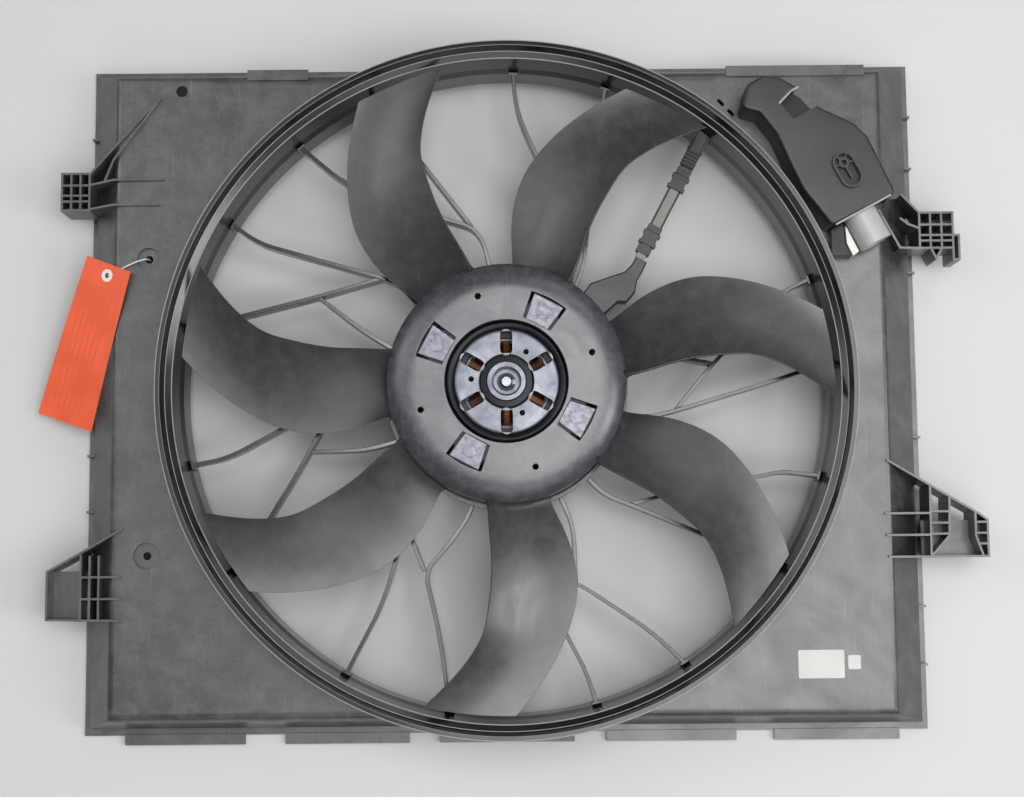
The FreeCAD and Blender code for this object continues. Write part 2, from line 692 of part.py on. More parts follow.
right_plate = block("lower_right_plate", wall_right + 0.5, size("shroud_shift_y") - 142.5, 24.0,
                    51.0, 30.0, 3.0)
lower_right = [
    (right_spot(-31.0, -62.0), right_spot(44.6, -107.5)),
    (right_spot(44.0, -107.0), right_spot(51.5, -112.6)),
    (right_spot(51.5, -112.0), right_spot(51.5, -143.6)),
    (right_spot(-31.5, -142.8), right_spot(52.4, -142.8)),
    (right_spot(-33.5, -106.8), right_spot(4.5, -106.8)),
    (right_spot(-32.5, -124.8), right_spot(4.5, -124.8)),
    (right_spot(4.5, -84.5), right_spot(4.0, -142.8)),
    (right_spot(20.4, -93.6), right_spot(19.5, -126.0)),
    (right_spot(19.7, -125.2), right_spot(7.5, -139.0)),
    (right_spot(8.0, -138.6), right_spot(4.0, -142.0)),
    (right_spot(41.5, -106.0), right_spot(41.5, -126.0)),
    (right_spot(41.3, -125.4), right_spot(47.0, -141.8)),
    (right_spot(4.4, -105.5), right_spot(20.0, -105.5)),
    (right_spot(4.4, -115.0), right_spot(20.0, -115.0)),
    (right_spot(4.4, -124.0), right_spot(20.0, -124.0)),
    (right_spot(41.5, -114.5), right_spot(51.5, -114.5)),
    (right_spot(41.5, -123.6), right_spot(51.5, -123.6)),
    (right_spot(44.0, -132.4), right_spot(51.5, -132.4)),
]
pieces.append(rib_net("lower_right_bracket", lower_right, 14.0, [right_plate]))

upper_right = grid_lines(wall_right, (3.2, 12.4, 21.8, 31.4), (117.0, 123.3, 128.0, 137.0, 147.4))
upper_right += [
    (right_spot(-11.5, 163.4), right_spot(3.2, 147.4)),
    (right_spot(-13.0, 143.0), right_spot(-6.0, 137.4)),
    (right_spot(-6.6, 137.8), right_spot(3.2, 134.0)),
    (right_spot(-14.5, 117.5), right_spot(3.2, 117.0)),
    (right_spot(-31.0, 150.5), right_spot(-13.6, 117.5)),
    (right_spot(31.4, 117.0), right_spot(31.4, 106.5)),
    (right_spot(36.4, 128.6), right_spot(36.4, 107.0)),
    (right_spot(31.4, 128.0), right_spot(36.9, 128.0)),
    (right_spot(31.4, 107.0), right_spot(36.9, 107.0)),
    (right_spot(12.4, 117.0), right_spot(17.0, 107.5)),
    (right_spot(21.8, 117.0), right_spot(16.4, 107.5)),
]
pieces.append(rib_net("upper_right_bracket", upper_right, 14.0))

# Motor carrier.
carrier_top = ring_foot + ring_wall + 8.0
motor_carrier = new_body("motor_carrier")
turned(motor_carrier, "turned_form", (
    (size("tube_radius") - 2.8, 44.0),
    (size("bearing_radius") + size("press_gap"), 44.0),
    (size("bearing_radius") + size("press_gap"), carrier_top - 4.0),
    (SCREW_CIRCLE + 6.0, carrier_top - 4.0),
    (SCREW_CIRCLE + 6.0, carrier_top),
    (58.0, carrier_top),
    (50.0, carrier_top + 8.0),
    (size("tube_radius") + 4.0, carrier_top + 8.0),
    (size("tube_radius") + 4.0, size("stator_foot")),
    (size("tube_radius"), size("stator_foot")),
    (size("tube_radius"), size("stator_foot") + size("stator_height") + 2.0),
    (size("bearing_radius") + size("press_gap"), size("stator_foot") + size("stator_height") + 2.0),
    (size("bearing_radius") + size("press_gap"), size("stator_foot") + size("stator_height") - 5.02),
    (size("tube_radius") - 4.6, size("stator_foot") + size("stator_height") - 5.02),
    (size("tube_radius") - 4.6, 51.02),
    (size("tube_radius") - 2.8, 51.02)))
hole_sketch = new_sketch(motor_carrier, "screw_hole", "XY_Plane", carrier_top + 1.0)
circle(hole_sketch, SCREW_CIRCLE, 0, 3.2)
hole = feature(motor_carrier, "Pocket", "screw_hole_cut", hole_sketch, Length=8.0)
round_pattern(motor_carrier, "screw_holes", [hole], 3)
pieces.append(motor_carrier)

electronics_cover = new_body("electronics_cover")
turned(electronics_cover, "cup", (
    (0, 10.0), (58.0, 10.0), (62.0, 14.0), (62.0, ring_foot + 3.0),
    (70.0, ring_foot + 3.0), (70.0, carrier_top - 4.0), (59.5, carrier_top - 4.0),
    (59.5, 15.0), (57.0, 12.5), (0, 12.5)))
pieces.append(electronics_cover)
board = new_body("circuit_board")
turned(board, "disc", ((0, 24.0), (59.45, 24.0), (59.45, 25.6), (0, 25.6)))
pieces.append(board)

# Stator.
stator_outer = size("rotor_radius") - size("rotor_wall") - size("magnet_thick") - size("air_gap")


def make_stator():
    """Stack of laminations with T-shaped teeth, and one winding per tooth."""
    count = int(float(size("tooth_count")))
    outer, inner = float(stator_outer), float(size("tube_radius")) + 0.02
    low, tall = float(size("stator_foot")), float(size("stator_height"))
    back = inner + 4.0
    neck, head = 4.4, 3.0
    core = solid_rod(back, low, low + tall).cut(solid_rod(inner, low - 1, low + tall + 1))
    tooth = Part.makeBox(outer - back + 0.6, neck, tall, Vector(back - 0.5, -neck / 2, low))
    shoe = solid_rod(outer, low, low + tall).cut(solid_rod(outer - head, low - 1, low + tall + 1))
    gap = math.pi * outer / count - 1.2
    shoe = shoe.common(Part.makeBox(2 * head + 2, 2 * gap, tall, Vector(outer - head - 2, -gap, low)))
    thick = float(size("coil_thick"))
    start, end = back + 2.0, outer - head - 0.4
    clear = 0.3
    coil = Part.makeBox(end - start, neck + 2 * thick, tall + 2 * thick,
                        Vector(start, -neck / 2 - thick, low - thick))
    room = Part.makeBox(end - start + 2, neck + 2 * clear, tall + 2 * clear,
                        Vector(start - 1, -neck / 2 - clear, low - clear))
    corners = [edge for edge in coil.Edges if abs(edge.tangentAt(edge.FirstParameter).x) > 0.9]
    coil = coil.makeFillet(thick * 0.6, corners).cut(room)
    coils = []
    for index in range(count):
        turn = 360.0 / count * index
        for shape in (tooth, shoe):
            copy = shape.copy()
            copy.rotate(Vector(0, 0, 0), Vector(0, 0, 1), turn)
            core = core.fuse(copy)
        wound = coil.copy()
        wound.rotate(Vector(0, 0, 0), Vector(0, 0, 1), turn)
        coils.append(wound)
    return core.removeSplitter(), Part.makeCompound(coils)


stator_core, stator_coils = make_stator()
pieces.append(solid_piece("stator_core", stator_core))
pieces.append(solid_piece("stator_coils", stator_coils))

# Bearings and screws.
stack_top = size("stator_foot") + size("stator_height")
for label, level in (("lower_bearing", Size(44.0)), ("upper_bearing", stack_top - 5.0)):
    body = new_body(label)
    inner = size("shaft_radius") + size("press_gap")
    low, high = level, level + size("bearing_width")
    outer = size("bearing_radius")
    turned(body, "rings", (
        (inner, low), (outer, low), (outer, high), (outer - 1.8, high), (outer - 2.4, high - 0.8),
        (inner + 2.4, high - 0.8), (inner + 1.8, high), (inner, high)))
    pieces.append(body)


def make_screws():
    """Three pan-head screws that hold the carrier on the mount ring."""
    place, seat = float(SCREW_CIRCLE), float(carrier_top)
    shank = solid_rod(2.5, float(ring_foot) + 0.5, seat)
    head = solid_rod(5.2, seat, seat + 3.2)
    flats = [polar(2.4, 60.0 * corner) for corner in range(6)]
    head = head.cut(prism([(flat.x, flat.y) for flat in flats], seat + 1.4, seat + 4.0))
    screw = shank.fuse(head)
    made = []
    for index in range(3):
        copy = screw.copy()
        copy.translate(Vector(place, 0, 0))
        copy.rotate(Vector(0, 0, 0), Vector(0, 0, 1), 120.0 * index)
        made.append(copy)
    return Part.makeCompound(made)


pieces.append(solid_piece("motor_screws", make_screws()))

# Fan hub.
hub_radius, hub_wall, hub_top = size("hub_radius"), size("hub_wall"), size("hub_top")
face_radius, edge_drop = size("hub_face_radius"), size("hub_edge_drop")
plate_foot = hub_top - size("hub_plate")


def shoulder_radius(reach, drop):
    """Radius of the arc that leaves the flat face and falls by drop over reach."""
    return (float(reach) ** 2 + float(drop) ** 2) / (2.0 * float(drop))


fan_hub = new_body("fan_hub")
outside = shoulder_radius(hub_radius - face_radius, edge_drop)
turned(fan_hub, "bowl", (
    (size("hub_bore"), plate_foot),
    (face_radius + 4.0, plate_foot),
    (hub_radius - hub_wall, plate_foot - edge_drop - 1.0),
    (hub_radius - hub_wall, size("hub_foot")),
    (hub_radius, size("hub_foot")),
    (hub_radius, hub_top - edge_drop, outside),
    (face_radius, hub_top),
    (size("hub_bore"), hub_top)))
WINDOW_TURN = 61.9
window_in, window_out = size("window_inner"), size("window_outer")
window_half, window_flare = size("window_half"), size("window_flare")
rib_sketch = new_sketch(fan_hub, "rib_outline", "XZ_Plane", -1.0)
outline(rib_sketch, (
    (window_out + 5.6, plate_foot - 16.0),
    (hub_radius - hub_wall + 0.5, plate_foot - 24.0),
    (hub_radius - hub_wall + 0.5, plate_foot - edge_drop - 0.6),
    (window_out + 5.6, plate_foot + 0.3)))
hub_rib = feature(fan_hub, "Pad", "rib", rib_sketch, Length=2.0)
round_pattern(fan_hub, "ribs", [hub_rib], 4)
window_sketch = new_sketch(fan_hub, "window_outline", "XY_Plane", plate_foot - 1.0)
outline(window_sketch, (
    (window_in, -window_half),
    (window_out, -window_half - window_flare, shoulder_radius(window_half + window_flare, 1.6)),
    (window_out, window_half + window_flare),
    (window_in, window_half)))
window = feature(fan_hub, "Pocket", "window", window_sketch, Length=20.0, Reversed=True)
round_pattern(fan_hub, "windows", [window], 4)
small_sketch = new_sketch(fan_hub, "small_hole_outline", "XY_Plane", plate_foot - 1.0)
SMALL_TURN = 46.3
circle(small_sketch, 72.6 * math.cos(math.radians(SMALL_TURN)),
       72.6 * math.sin(math.radians(SMALL_TURN)), 2.6)
small = feature(fan_hub, "Pocket", "small_hole", small_sketch, Length=20.0, Reversed=True)
round_pattern(fan_hub, "small_holes", [small], 4)
fan_hub.Placement = Placement(Vector(0, 0, 0), Rotation(Vector(0, 0, 1), WINDOW_TURN))
pieces.append(fan_hub)

# Fan blades.
blade_radius = bore - size("tip_gap")

# Edges of one blade as (share of the span, angle from the blade's middle at the
# tip, height): the leading edge runs ahead, on the radiator side.
LEADING = ((0.0, 27.2, 60.0), (0.21, 28.4, 63.0), (0.42, 26.2, 66.5), (0.61, 21.2, 70.0), (1.0, 7.9, 78.6))
TRAILING = ((0.0, -1.6, 97.5), (0.23, 2.0, 97.5), (0.43, 2.4, 97.0), (0.63, 1.0, 96.0), (1.0, -7.9, 94.0))
BLADE_TURNS = (108.5, 59.2, 4.5, -40.1, -97.3, -150.0, 166.1)


def edge_curve(table):
    """Spline through one edge of the blade, in share, angle and height."""
    curve = Part.BSplineCurve()
    curve.interpolate([Vector(share * 100.0, angle, height) for share, angle, height in table])
    return curve


def edge_at(curve, share):
    """Angle and height of an edge at a share of the span."""
    plane = Part.Plane(Vector(share * 100.0, 0, 0), Vector(1, 0, 0))
    hits = curve.intersect(plane)[0]
    return hits[0].Y, hits[0].Z


def blade_section(share, leading, trailing):
    """Closed outline of the blade on a plane square to its middle radius."""
    root, tip = float(hub_radius), float(blade_radius)
    lead_angle, lead_z = edge_at(leading, share)
    trail_angle, trail_z = edge_at(trailing, share)
    middle = math.radians((lead_angle + trail_angle) / 2.0)
    half = math.radians((lead_angle - trail_angle) / 2.0)
    distance = root + share * (tip - root)
    out = Vector(math.cos(middle), math.sin(middle), 0)
    ahead = Vector(-out.y, out.x, 0)
    centre = out * distance
    lead = centre + ahead * (distance * math.tan(half)) + Vector(0, 0, lead_z)
    trail = centre - ahead * (distance * math.tan(half)) + Vector(0, 0, trail_z)
    chord = trail - lead
    normal = out.cross(chord).normalize()
    if normal.z < 0:
        normal = normal * -1.0
    root_thick, tip_thick = float(size("blade_thick_root")), float(size("blade_thick_tip"))
    thick = root_thick + (tip_thick - root_thick) * share
    camber = float(size("blade_camber")) * chord.Length
    upper, lower = [], []
    for step in (0.0, 0.2, 0.5, 0.8, 1.0):
        hollow = -camber * 4.0 * step * (1.0 - step)
        body = thick * (0.28 + 0.72 * math.sin(math.pi * (0.12 + 0.76 * step))) / 2.0
        upper.append(lead + chord * step + normal * (hollow + body))
        lower.append(lead + chord * step + normal * (hollow - body))
    edges = []
    for line in (upper, lower[::-1]):
        curve = Part.BSplineCurve()
        curve.interpolate(line)
        edges.append(curve.toShape())
    nose = Part.LineSegment(lower[0], upper[0]).toShape()
    tail = Part.LineSegment(upper[-1], lower[-1]).toShape()
    return Part.Wire([edges[0], tail, edges[1], nose])


def make_blades():
    """Seven equal blades at uneven spacing, seated on the hub's wall."""
    leading, trailing = edge_curve(LEADING), edge_curve(TRAILING)
    sections = [blade_section(share, leading, trailing) for share in (0.0, 0.2, 0.4, 0.6, 0.8, 1.0)]
    first = sections[0].copy()
    first.translate(Vector(sections[0].CenterOfMass.x, sections[0].CenterOfMass.y, 0) * -0.09)
    blade = Part.makeLoft([first] + sections, True, False)
    keep = solid_rod(float(blade_radius), 40.0, 120.0)
    hub = turned_solid(((0.0, 30.0), (float(hub_radius) + float(size("seat_gap")), 30.0),
                        (float(hub_radius) + float(size("seat_gap")), 130.0), (0.0, 130.0)))
    blade = blade.common(keep).cut(hub)
    made = []
    for turn in BLADE_TURNS:
        copy = blade.copy()
        copy.rotate(Vector(0, 0, 0), Vector(0, 0, 1), turn)
        made.append(copy)
    return Part.makeCompound(made)


pieces.append(solid_piece("fan_blades", make_blades()))

# Rotor.
cup, cup_wall, magnet = size("rotor_radius"), size("rotor_wall"), size("magnet_thick")
cap_top = hub_top - 1.6
rotor_cap = new_body("rotor_cap")
BOSS = size("shaft_radius") + 5.8
turned(rotor_cap, "cup", (
    (size("shaft_radius") + size("press_gap"), cap_top - 9.0),
    (BOSS + 8.0, cap_top - 9.0),
    (BOSS + 13.0, cap_top - 3.0),
    (cup - cup_wall, cap_top - 3.0),
    (cup - cup_wall, size("rotor_foot")),
    (cup, size("rotor_foot")),
    (cup, cap_top - 4.4, 3.4),
    (cup - 3.2, cap_top - 1.0),
    (BOSS + 11.9, cap_top - 1.0),
    (BOSS + 9.4, cap_top - 3.4),
    (BOSS + 6.0, cap_top - 3.4),
    (BOSS + 4.8, cap_top + 0.6),
    (BOSS + 1.4, cap_top + 0.6),
    (BOSS, cap_top - 0.6),
    (BOSS, cap_top - 7.4),
    (size("shaft_radius") + size("press_gap"), cap_top - 7.4)))
vent_sketch = new_sketch(rotor_cap, "vent_outline", "XY_Plane", cap_top - 12.0)
outline(vent_sketch, (
    (27.3, -4.0), (35.2, -4.0, 4.1), (35.2, 4.0), (27.3, 4.0, 4.1)))
vent = feature(rotor_cap, "Pocket", "vent", vent_sketch, Length=20.0, Reversed=True)
round_pattern(rotor_cap, "vents", [vent], 6)
tapped_sketch = new_sketch(rotor_cap, "tapped_circle", "XY_Plane", cap_top - 12.0)
circle(tapped_sketch, 28.5 * math.cos(math.radians(26.0)), 28.5 * math.sin(math.radians(26.0)), 2.3)
tapped = feature(rotor_cap, "Pocket", "tapped", tapped_sketch, Length=20.0, Reversed=True)
round_pattern(rotor_cap, "tapped_holes", [tapped], 3)
rotor_cap.Placement = Placement(Vector(0, 0, 0), Rotation(Vector(0, 0, 1), 30.0))
pieces.append(rotor_cap)

magnets = new_body("magnets")
turned(magnets, "ring", (
    (cup - cup_wall - magnet, size("stator_foot") - 3.0),
    (cup - cup_wall - size("press_gap"), size("stator_foot") - 3.0),
    (cup - cup_wall - size("press_gap"), stack_top + 3.0),
    (cup - cup_wall - magnet, stack_top + 3.0)))
pieces.append(magnets)

# Steel plate under the hub's face, with one lug for each window.
carrier_plate = new_body("carrier_plate")
plate_sketch = new_sketch(carrier_plate, "annulus", "XY_Plane", plate_foot - size("seat_gap") - 1.6)
circle(plate_sketch, 0, 0, window_out - 8.0)
circle(plate_sketch, 0, 0, cup + size("press_gap"))
feature(carrier_plate, "Pad", "disc", plate_sketch, Length=1.6)
lug_sketch = new_sketch(carrier_plate, "lug_outline", "XY_Plane", plate_foot - size("seat_gap") - 1.6)
rectangle(lug_sketch, 60.0, -13.0, window_out + 0.9, 13.0)
lug = feature(carrier_plate, "Pad", "lug", lug_sketch, Length=1.6)
round_pattern(carrier_plate, "lugs", [lug], 4)
carrier_plate.Placement = Placement(Vector(0, 0, 0), Rotation(Vector(0, 0, 1), WINDOW_TURN))
pieces.append(carrier_plate)

window_pads = new_body("window_pads")
pad_sketch = new_sketch(window_pads, "pad_outline", "XY_Plane", plate_foot - size("seat_gap"))
side = size("lug_gap")
outline(pad_sketch, (
    (window_in + 0.6, side - window_half),
    (window_out - 0.6, side - window_half - window_flare),
    (window_out - 0.6, window_half + window_flare - side),
    (window_in + 0.6, window_half - side)))
pad = feature(window_pads, "Pad", "pad", pad_sketch, Length=2.2)
stud_sketch = new_sketch(window_pads, "stud_circle", "XY_Plane", plate_foot + 2.0)
circle(stud_sketch, (window_in + window_out) / 2, 0, 5.4)
stud = feature(window_pads, "Pad", "stud", stud_sketch, Length=1.4)
made = [pad, stud]
for index, turn in enumerate((45.0, 135.0, 225.0, 315.0)):
    spoke = new_sketch(window_pads, f"spoke_{index}", "XY_Plane", plate_foot + 2.0)
    middle = (window_in + window_out) / 2
    cos, sin = math.cos(math.radians(turn)), math.sin(math.radians(turn))
    near, far, half = 5.0, 12.6, 0.5
    outline(spoke, (
        (middle + (near * cos + half * sin), near * sin - half * cos),
        (middle + (far * cos + half * sin), far * sin - half * cos),
        (middle + (far * cos - half * sin), far * sin + half * cos),
        (middle + (near * cos - half * sin), near * sin + half * cos)))
    made.append(feature(window_pads, "Pad", f"spoke_pad_{index}", spoke, Length=0.8))
round_pattern(window_pads, "pads", made, 4)
window_pads.Placement = Placement(Vector(0, 0, 0), Rotation(Vector(0, 0, 1), WINDOW_TURN))
pieces.append(window_pads)

shaft = new_body("shaft")
turned(shaft, "rod", (
    (0, 45.0), (size("shaft_radius") - 0.8, 45.0), (size("shaft_radius"), 45.8),
    (size("shaft_radius"), cap_top - 3.0), (size("shaft_radius") - 1.0, cap_top - 2.0),
    (0, cap_top - 2.0)))
pieces.append(shaft)


def make_clip():
    """Open spring clip round the end of the shaft."""
    low = float(cap_top) - 7.2
    inner, outer = float(size("shaft_radius")) + 0.02, float(size("shaft_radius")) + 2.6
    ring = solid_rod(outer, low, low + 1.2).cut(solid_rod(inner, low - 1, low + 3))
    return ring.cut(Part.makeBox(10, 4.0, 4, Vector(0, -2.0, low - 1)))


pieces.append(solid_piece("shaft_clip", make_clip()))

# Motor lead.
LEAD_ROUTE = STRUTS[-1]


class LeadFrame:
    """Frame of the straight lead strut: X runs outward along its sloping top."""

    def __init__(self):
        inner, outer = (route_point(*LEAD_ROUTE[index]) for index in (1, 2))
        rise = float(size("strut_rise"))
        inner.z, outer.z = (float(ring_top) - 1.0 + rise * LEAD_ROUTE[index][0] for index in (1, 2))
        along = outer - inner
        self.length = along.Length
        pitch = math.degrees(math.asin(along.z / along.Length))
        turn = math.degrees(math.atan2(along.y, along.x))
        tilt = Rotation(Vector(0, 0, 1), turn) * Rotation(Vector(0, 1, 0), -pitch)
        self.placement = Placement(inner, tilt)

    def plan(self, along, across):
        """Point in plan by its distances along and across the strut."""
        spot = self.placement.multVec(Vector(along, across, 0.0))
        return spot.x, spot.y

    def box(self, start, end, width, low, high):
        """Box across the strut between two distances along it."""
        made = Part.makeBox(end - start, width, high - low, Vector(start, -width / 2.0, low))
        return made.transformGeometry(self.placement.toMatrix())


lead = LeadFrame()
lead_width, lead_thick = float(size("lead_width")), float(size("lead_thick"))
floor_top = 1.4
lead_low, lead_high = floor_top + 0.05, floor_top + 0.05 + lead_thick
CONNECTOR_REACH = 30.6
connector_start = lead.length - CONNECTOR_REACH
channel = lead.box(4.0, connector_start - 0.1, lead_width + 3.0, 0.02, lead_high - 0.4)
channel = channel.cut(lead.box(0.0, connector_start, lead_width + 0.6, floor_top, lead_high + 5.0))
pieces.append(solid_piece("lead_channel", channel))
lead_strip = lead.box(0.05, connector_start, lead_width, lead_low, lead_high)
pieces.append(solid_piece("motor_lead", lead_strip))


def make_clips():
    """Clips that hold the lead down in its channel, one solid each."""
    made = []
    for start, end, wide, tall in ((5.0, 12.0, 12.4, 5.4), (13.0, 25.0, 15.4, 6.4), (25.6, 31.0, 12.6, 5.0),
                                   (connector_start - 21.0, connector_start - 8.0, 15.4, 6.4),
                                   (connector_start - 7.4, connector_start - 1.0, 12.6, 5.0)):
        clip = lead.box(start, end, wide, -1.6, tall)
        if wide > 15.0:
            for side in (-1.0, 1.0):
                notch = Part.makeBox((end - start) * 0.5, 3.0, 12.0,
                                     Vector(start + (end - start) * 0.25, side * (wide / 2.0 + 0.2) - 1.5, -2.0))
                clip = clip.cut(notch.transformGeometry(lead.placement.toMatrix()))
        inside = lead.box(start - 1.0, end + 1.0, lead_width + 3.1, -3.0, lead_high - 0.35)
        above = lead.box(start - 1.0, end + 1.0, lead_width + 0.7, -3.0, lead_high + 0.05)
        made.append(clip.cut(inside).cut(above))
    return Part.makeCompound(made)


pieces.append(solid_piece("lead_clips", make_clips()))


def make_rim_connector():
    """Ribbed connector at the barrel end of the lead, seated on the bore."""
    body = lead.box(connector_start + 0.05, lead.length + 6.0, 9.5, 0.05, 7.5)
    for index in range(5):
        start = connector_start + 1.0 + 3.0 * index
        body = body.fuse(lead.box(start, start + 1.6, 12.5, 0.05, 8.6))
    body = body.fuse(lead.box(connector_start + 15.6, lead.length + 6.0, 13.5, 0.05, 6.6))
    seat, gap = float(bore), float(size("seat_gap"))
    flare = float(size("flare_reach")) / 2.0
    high = float(throat)
    room = turned_solid(((0.0, 20.0), (seat - gap, 20.0), (seat - gap, high),
                         (seat + flare - gap, high + 8.0), (seat + flare - gap, high + 40.0), (0.0, high + 40.0)))
    body = body.common(room)
    for strut in doc.getObject("stator_struts").Shape.Solids:
        if strut.BoundBox.intersect(body.BoundBox):
            body = body.cut(strut)
    return body.removeSplitter()


pieces.append(solid_piece("rim_connector", make_rim_connector()))
# Outline of the cover over the lead, along and across the strut.
ARM = ((0.5, 3.1), (-7.6, 3.4), (-15.7, 5.9), (-37.7, 27.1), (-59.0, 30.0), (-65.8, 12.9), (-54.4, 4.2),
       (-41.1, -0.7), (-38.3, -7.1), (-27.3, -9.8), (-17.5, -6.9), (-9.8, -7.4), (1.3, -7.2))


def make_arm():
    """Cover over the lead where it widens to the motor mount ring."""
    low, high = float(ring_top) - 7.0, float(ring_top) + 6.5
    arm = prism([lead.plan(*corner) for corner in ARM], low, high)
    arm = arm.makeChamfer(1.0, [edge for edge in arm.Edges if edge.BoundBox.ZMin > high - 0.1])
    arm = arm.cut(solid_rod(float(ring_radius) + float(size("seat_gap")), low - 1, high + 1))
    arm = arm.cut(lead.box(0.0, 30.0, 60.0, -20.0, 20.0))
    for strut in doc.getObject("stator_struts").Shape.Solids:
        if strut.BoundBox.intersect(arm.BoundBox):
            arm = arm.cut(strut)
    return max(arm.Solids, key=lambda solid: solid.Volume)


pieces.append(solid_piece("motor_lead_cover", make_arm()))

# Harness cover.
def beside_lip(points):
    """Offsets of the harness turned into points."""
    return [(float(harness_x) + dx, float(harness_y) + dy) for dx, dy in points]


COVER = ((-21.6, 47.0), (-16.0, 67.3), (-3.5, 75.4), (11.5, 73.2), (31.4, 61.5), (44.0, 47.3),
         (72.6, 33.3), (83.5, 22.3), (105.9, -26.0), (51.4, -53.8), (28.0, -23.2), (17.2, 0.5),
         (7.5, 23.8), (-6.5, 42.8))
BOSS_CENTRE, BOSS_HALF, BOSS_RADIUS = beside_lip([(65.2, -7.0)])[0], 6.6, 9.4
WINDOW = ((11.8, 50.8), (20.5, 59.3), (32.5, 66.8), (46.5, 51.8), (22.1, 37.7))
PLUG_TURN = -62.0
cover_top, plug_height = float(size("cover_top")), float(size("plug_height"))
plug_radius = float(size("plug_radius"))
plug_axis = Vector(math.cos(math.radians(PLUG_TURN)), math.sin(math.radians(PLUG_TURN)), 0)
plug_end = Vector(float(harness_x) + 91.1, float(harness_y) - 65.6, plug_height)
PLUG_LENGTH = 58.0
MOUTH_DEPTH = 13.0


def along_plug(radius, start, length):
    """Cylinder on the plug's axis, start measured back from its outer end."""
    return Part.makeCylinder(radius, length, plug_end - plug_axis * start, plug_axis)


def oblong(centre, half, radius, turn, low, high):
    """Upright obround about a centre, long along its turned X axis."""
    made = Part.makeBox(2 * half, 2 * radius, high - low, Vector(-half, -radius, low))
    for side in (-half, half):
        made = made.fuse(solid_rod(radius, low, high, Vector(side, 0, 0)))
    made = made.removeSplitter()
    made.rotate(Vector(0, 0, 0), Vector(0, 0, 1), turn)
    made.translate(Vector(*centre, 0))
    return made


def make_cover():
    """Moulded cover over the plug: rounded box with a window and a mouth."""
    low = float(size("skirt_height")) + 8.0
    body = prism(beside_lip(COVER), low, cover_top)
    upright = [edge for edge in body.Edges if edge.BoundBox.ZLength > 5]
    body = body.makeFillet(5.0, upright)
    crown = [edge for edge in body.Edges if edge.BoundBox.ZMin > cover_top - 0.1]
    body = body.makeFillet(3.0, crown)
    window = prism(beside_lip(WINDOW), cover_top - 18.0, cover_top + 1)
    body = body.cut(window)
    body = body.fuse(oblong(BOSS_CENTRE, BOSS_HALF, BOSS_RADIUS, PLUG_TURN, cover_top - 1.0, cover_top + 3.0))
    hollow = oblong(BOSS_CENTRE, BOSS_HALF, BOSS_RADIUS - 1.8, PLUG_TURN, cover_top - 1.2, cover_top + 4.0)
    eye = Vector(*BOSS_CENTRE, 0) - plug_axis * BOSS_HALF
    hollow = hollow.cut(solid_rod(4.2, cover_top - 2, cover_top + 5, eye))
    body = body.cut(hollow).cut(solid_rod(2.2, cover_top - 1.2, cover_top + 5, eye))
    across = Vector(-plug_axis.y, plug_axis.x, 0)
    mouth = plug_end - plug_axis * 28.5
    half = 26.5
    corners = [mouth - across * half + plug_axis * 5, mouth + across * half + plug_axis * 5,
               mouth + across * half - plug_axis * MOUTH_DEPTH, mouth - across * half - plug_axis * MOUTH_DEPTH]
    body = body.cut(prism([(corner.x, corner.y) for corner in corners], low - 1.0, cover_top - 2.4))
    return body.cut(along_plug(plug_radius + float(size("seat_gap")), PLUG_LENGTH, 90.0))


cover_raw = solid_piece("cover_raw", make_cover())
harness_cover = carved("harness_cover", cover_raw, outer_form)
pieces.append(harness_cover)

plug = along_plug(plug_radius, PLUG_LENGTH - 0.05, PLUG_LENGTH - 0.05)
plug = plug.cut(along_plug(plug_radius - 1.8, 16.0, 20.0))
pieces.append(solid_piece("connector_body", plug))
insert = along_plug(plug_radius - 1.85, 15.95, 5.0)
for index in range(4):
    turn = math.radians(90.0 * index + 45.0)
    across = Vector(-plug_axis.y, plug_axis.x, 0)
    offset = across * (5.0 * math.cos(turn)) + Vector(0, 0, 5.0 * math.sin(turn))
    insert = insert.fuse(Part.makeCylinder(1.3, 4.0, plug_end - plug_axis * 11.0 + offset, plug_axis))
pieces.append(solid_piece("connector_insert", insert.removeSplitter()))

panel_level = float(panel_top) + float(size("seat_gap"))
LOCK = ((65.4, -50.4), (67.4, -53.1), (76.7, -72.3), (71.5, -76.1), (66.6, -65.3))
HOLDER = ((53.9, -44.2), (65.0, -44.2), (65.0, -50.4), (66.2, -65.5), (70.7, -75.6), (54.5, -75.6))
plug_room = along_plug(plug_radius + 0.1, PLUG_LENGTH, 90.0)
lock = prism(beside_lip(LOCK), panel_level, plug_height + 1.0).cut(plug_room)
pieces.append(solid_piece("connector_lock", max(lock.Solids, key=lambda solid: solid.Volume)))
holder = prism(beside_lip(HOLDER), panel_level, plug_height - 2.0).cut(plug_room)
# The holder stops where the cover begins.
holder = holder.cut(prism(beside_lip(((20.5, -53.2), (51.5, -54.2), (120.5, -19.2), (80.5, 15.8))),
                          0.0, cover_top + 20.0))
pieces.append(solid_piece("connector_holder", max(holder.Solids, key=lambda solid: solid.Volume)))

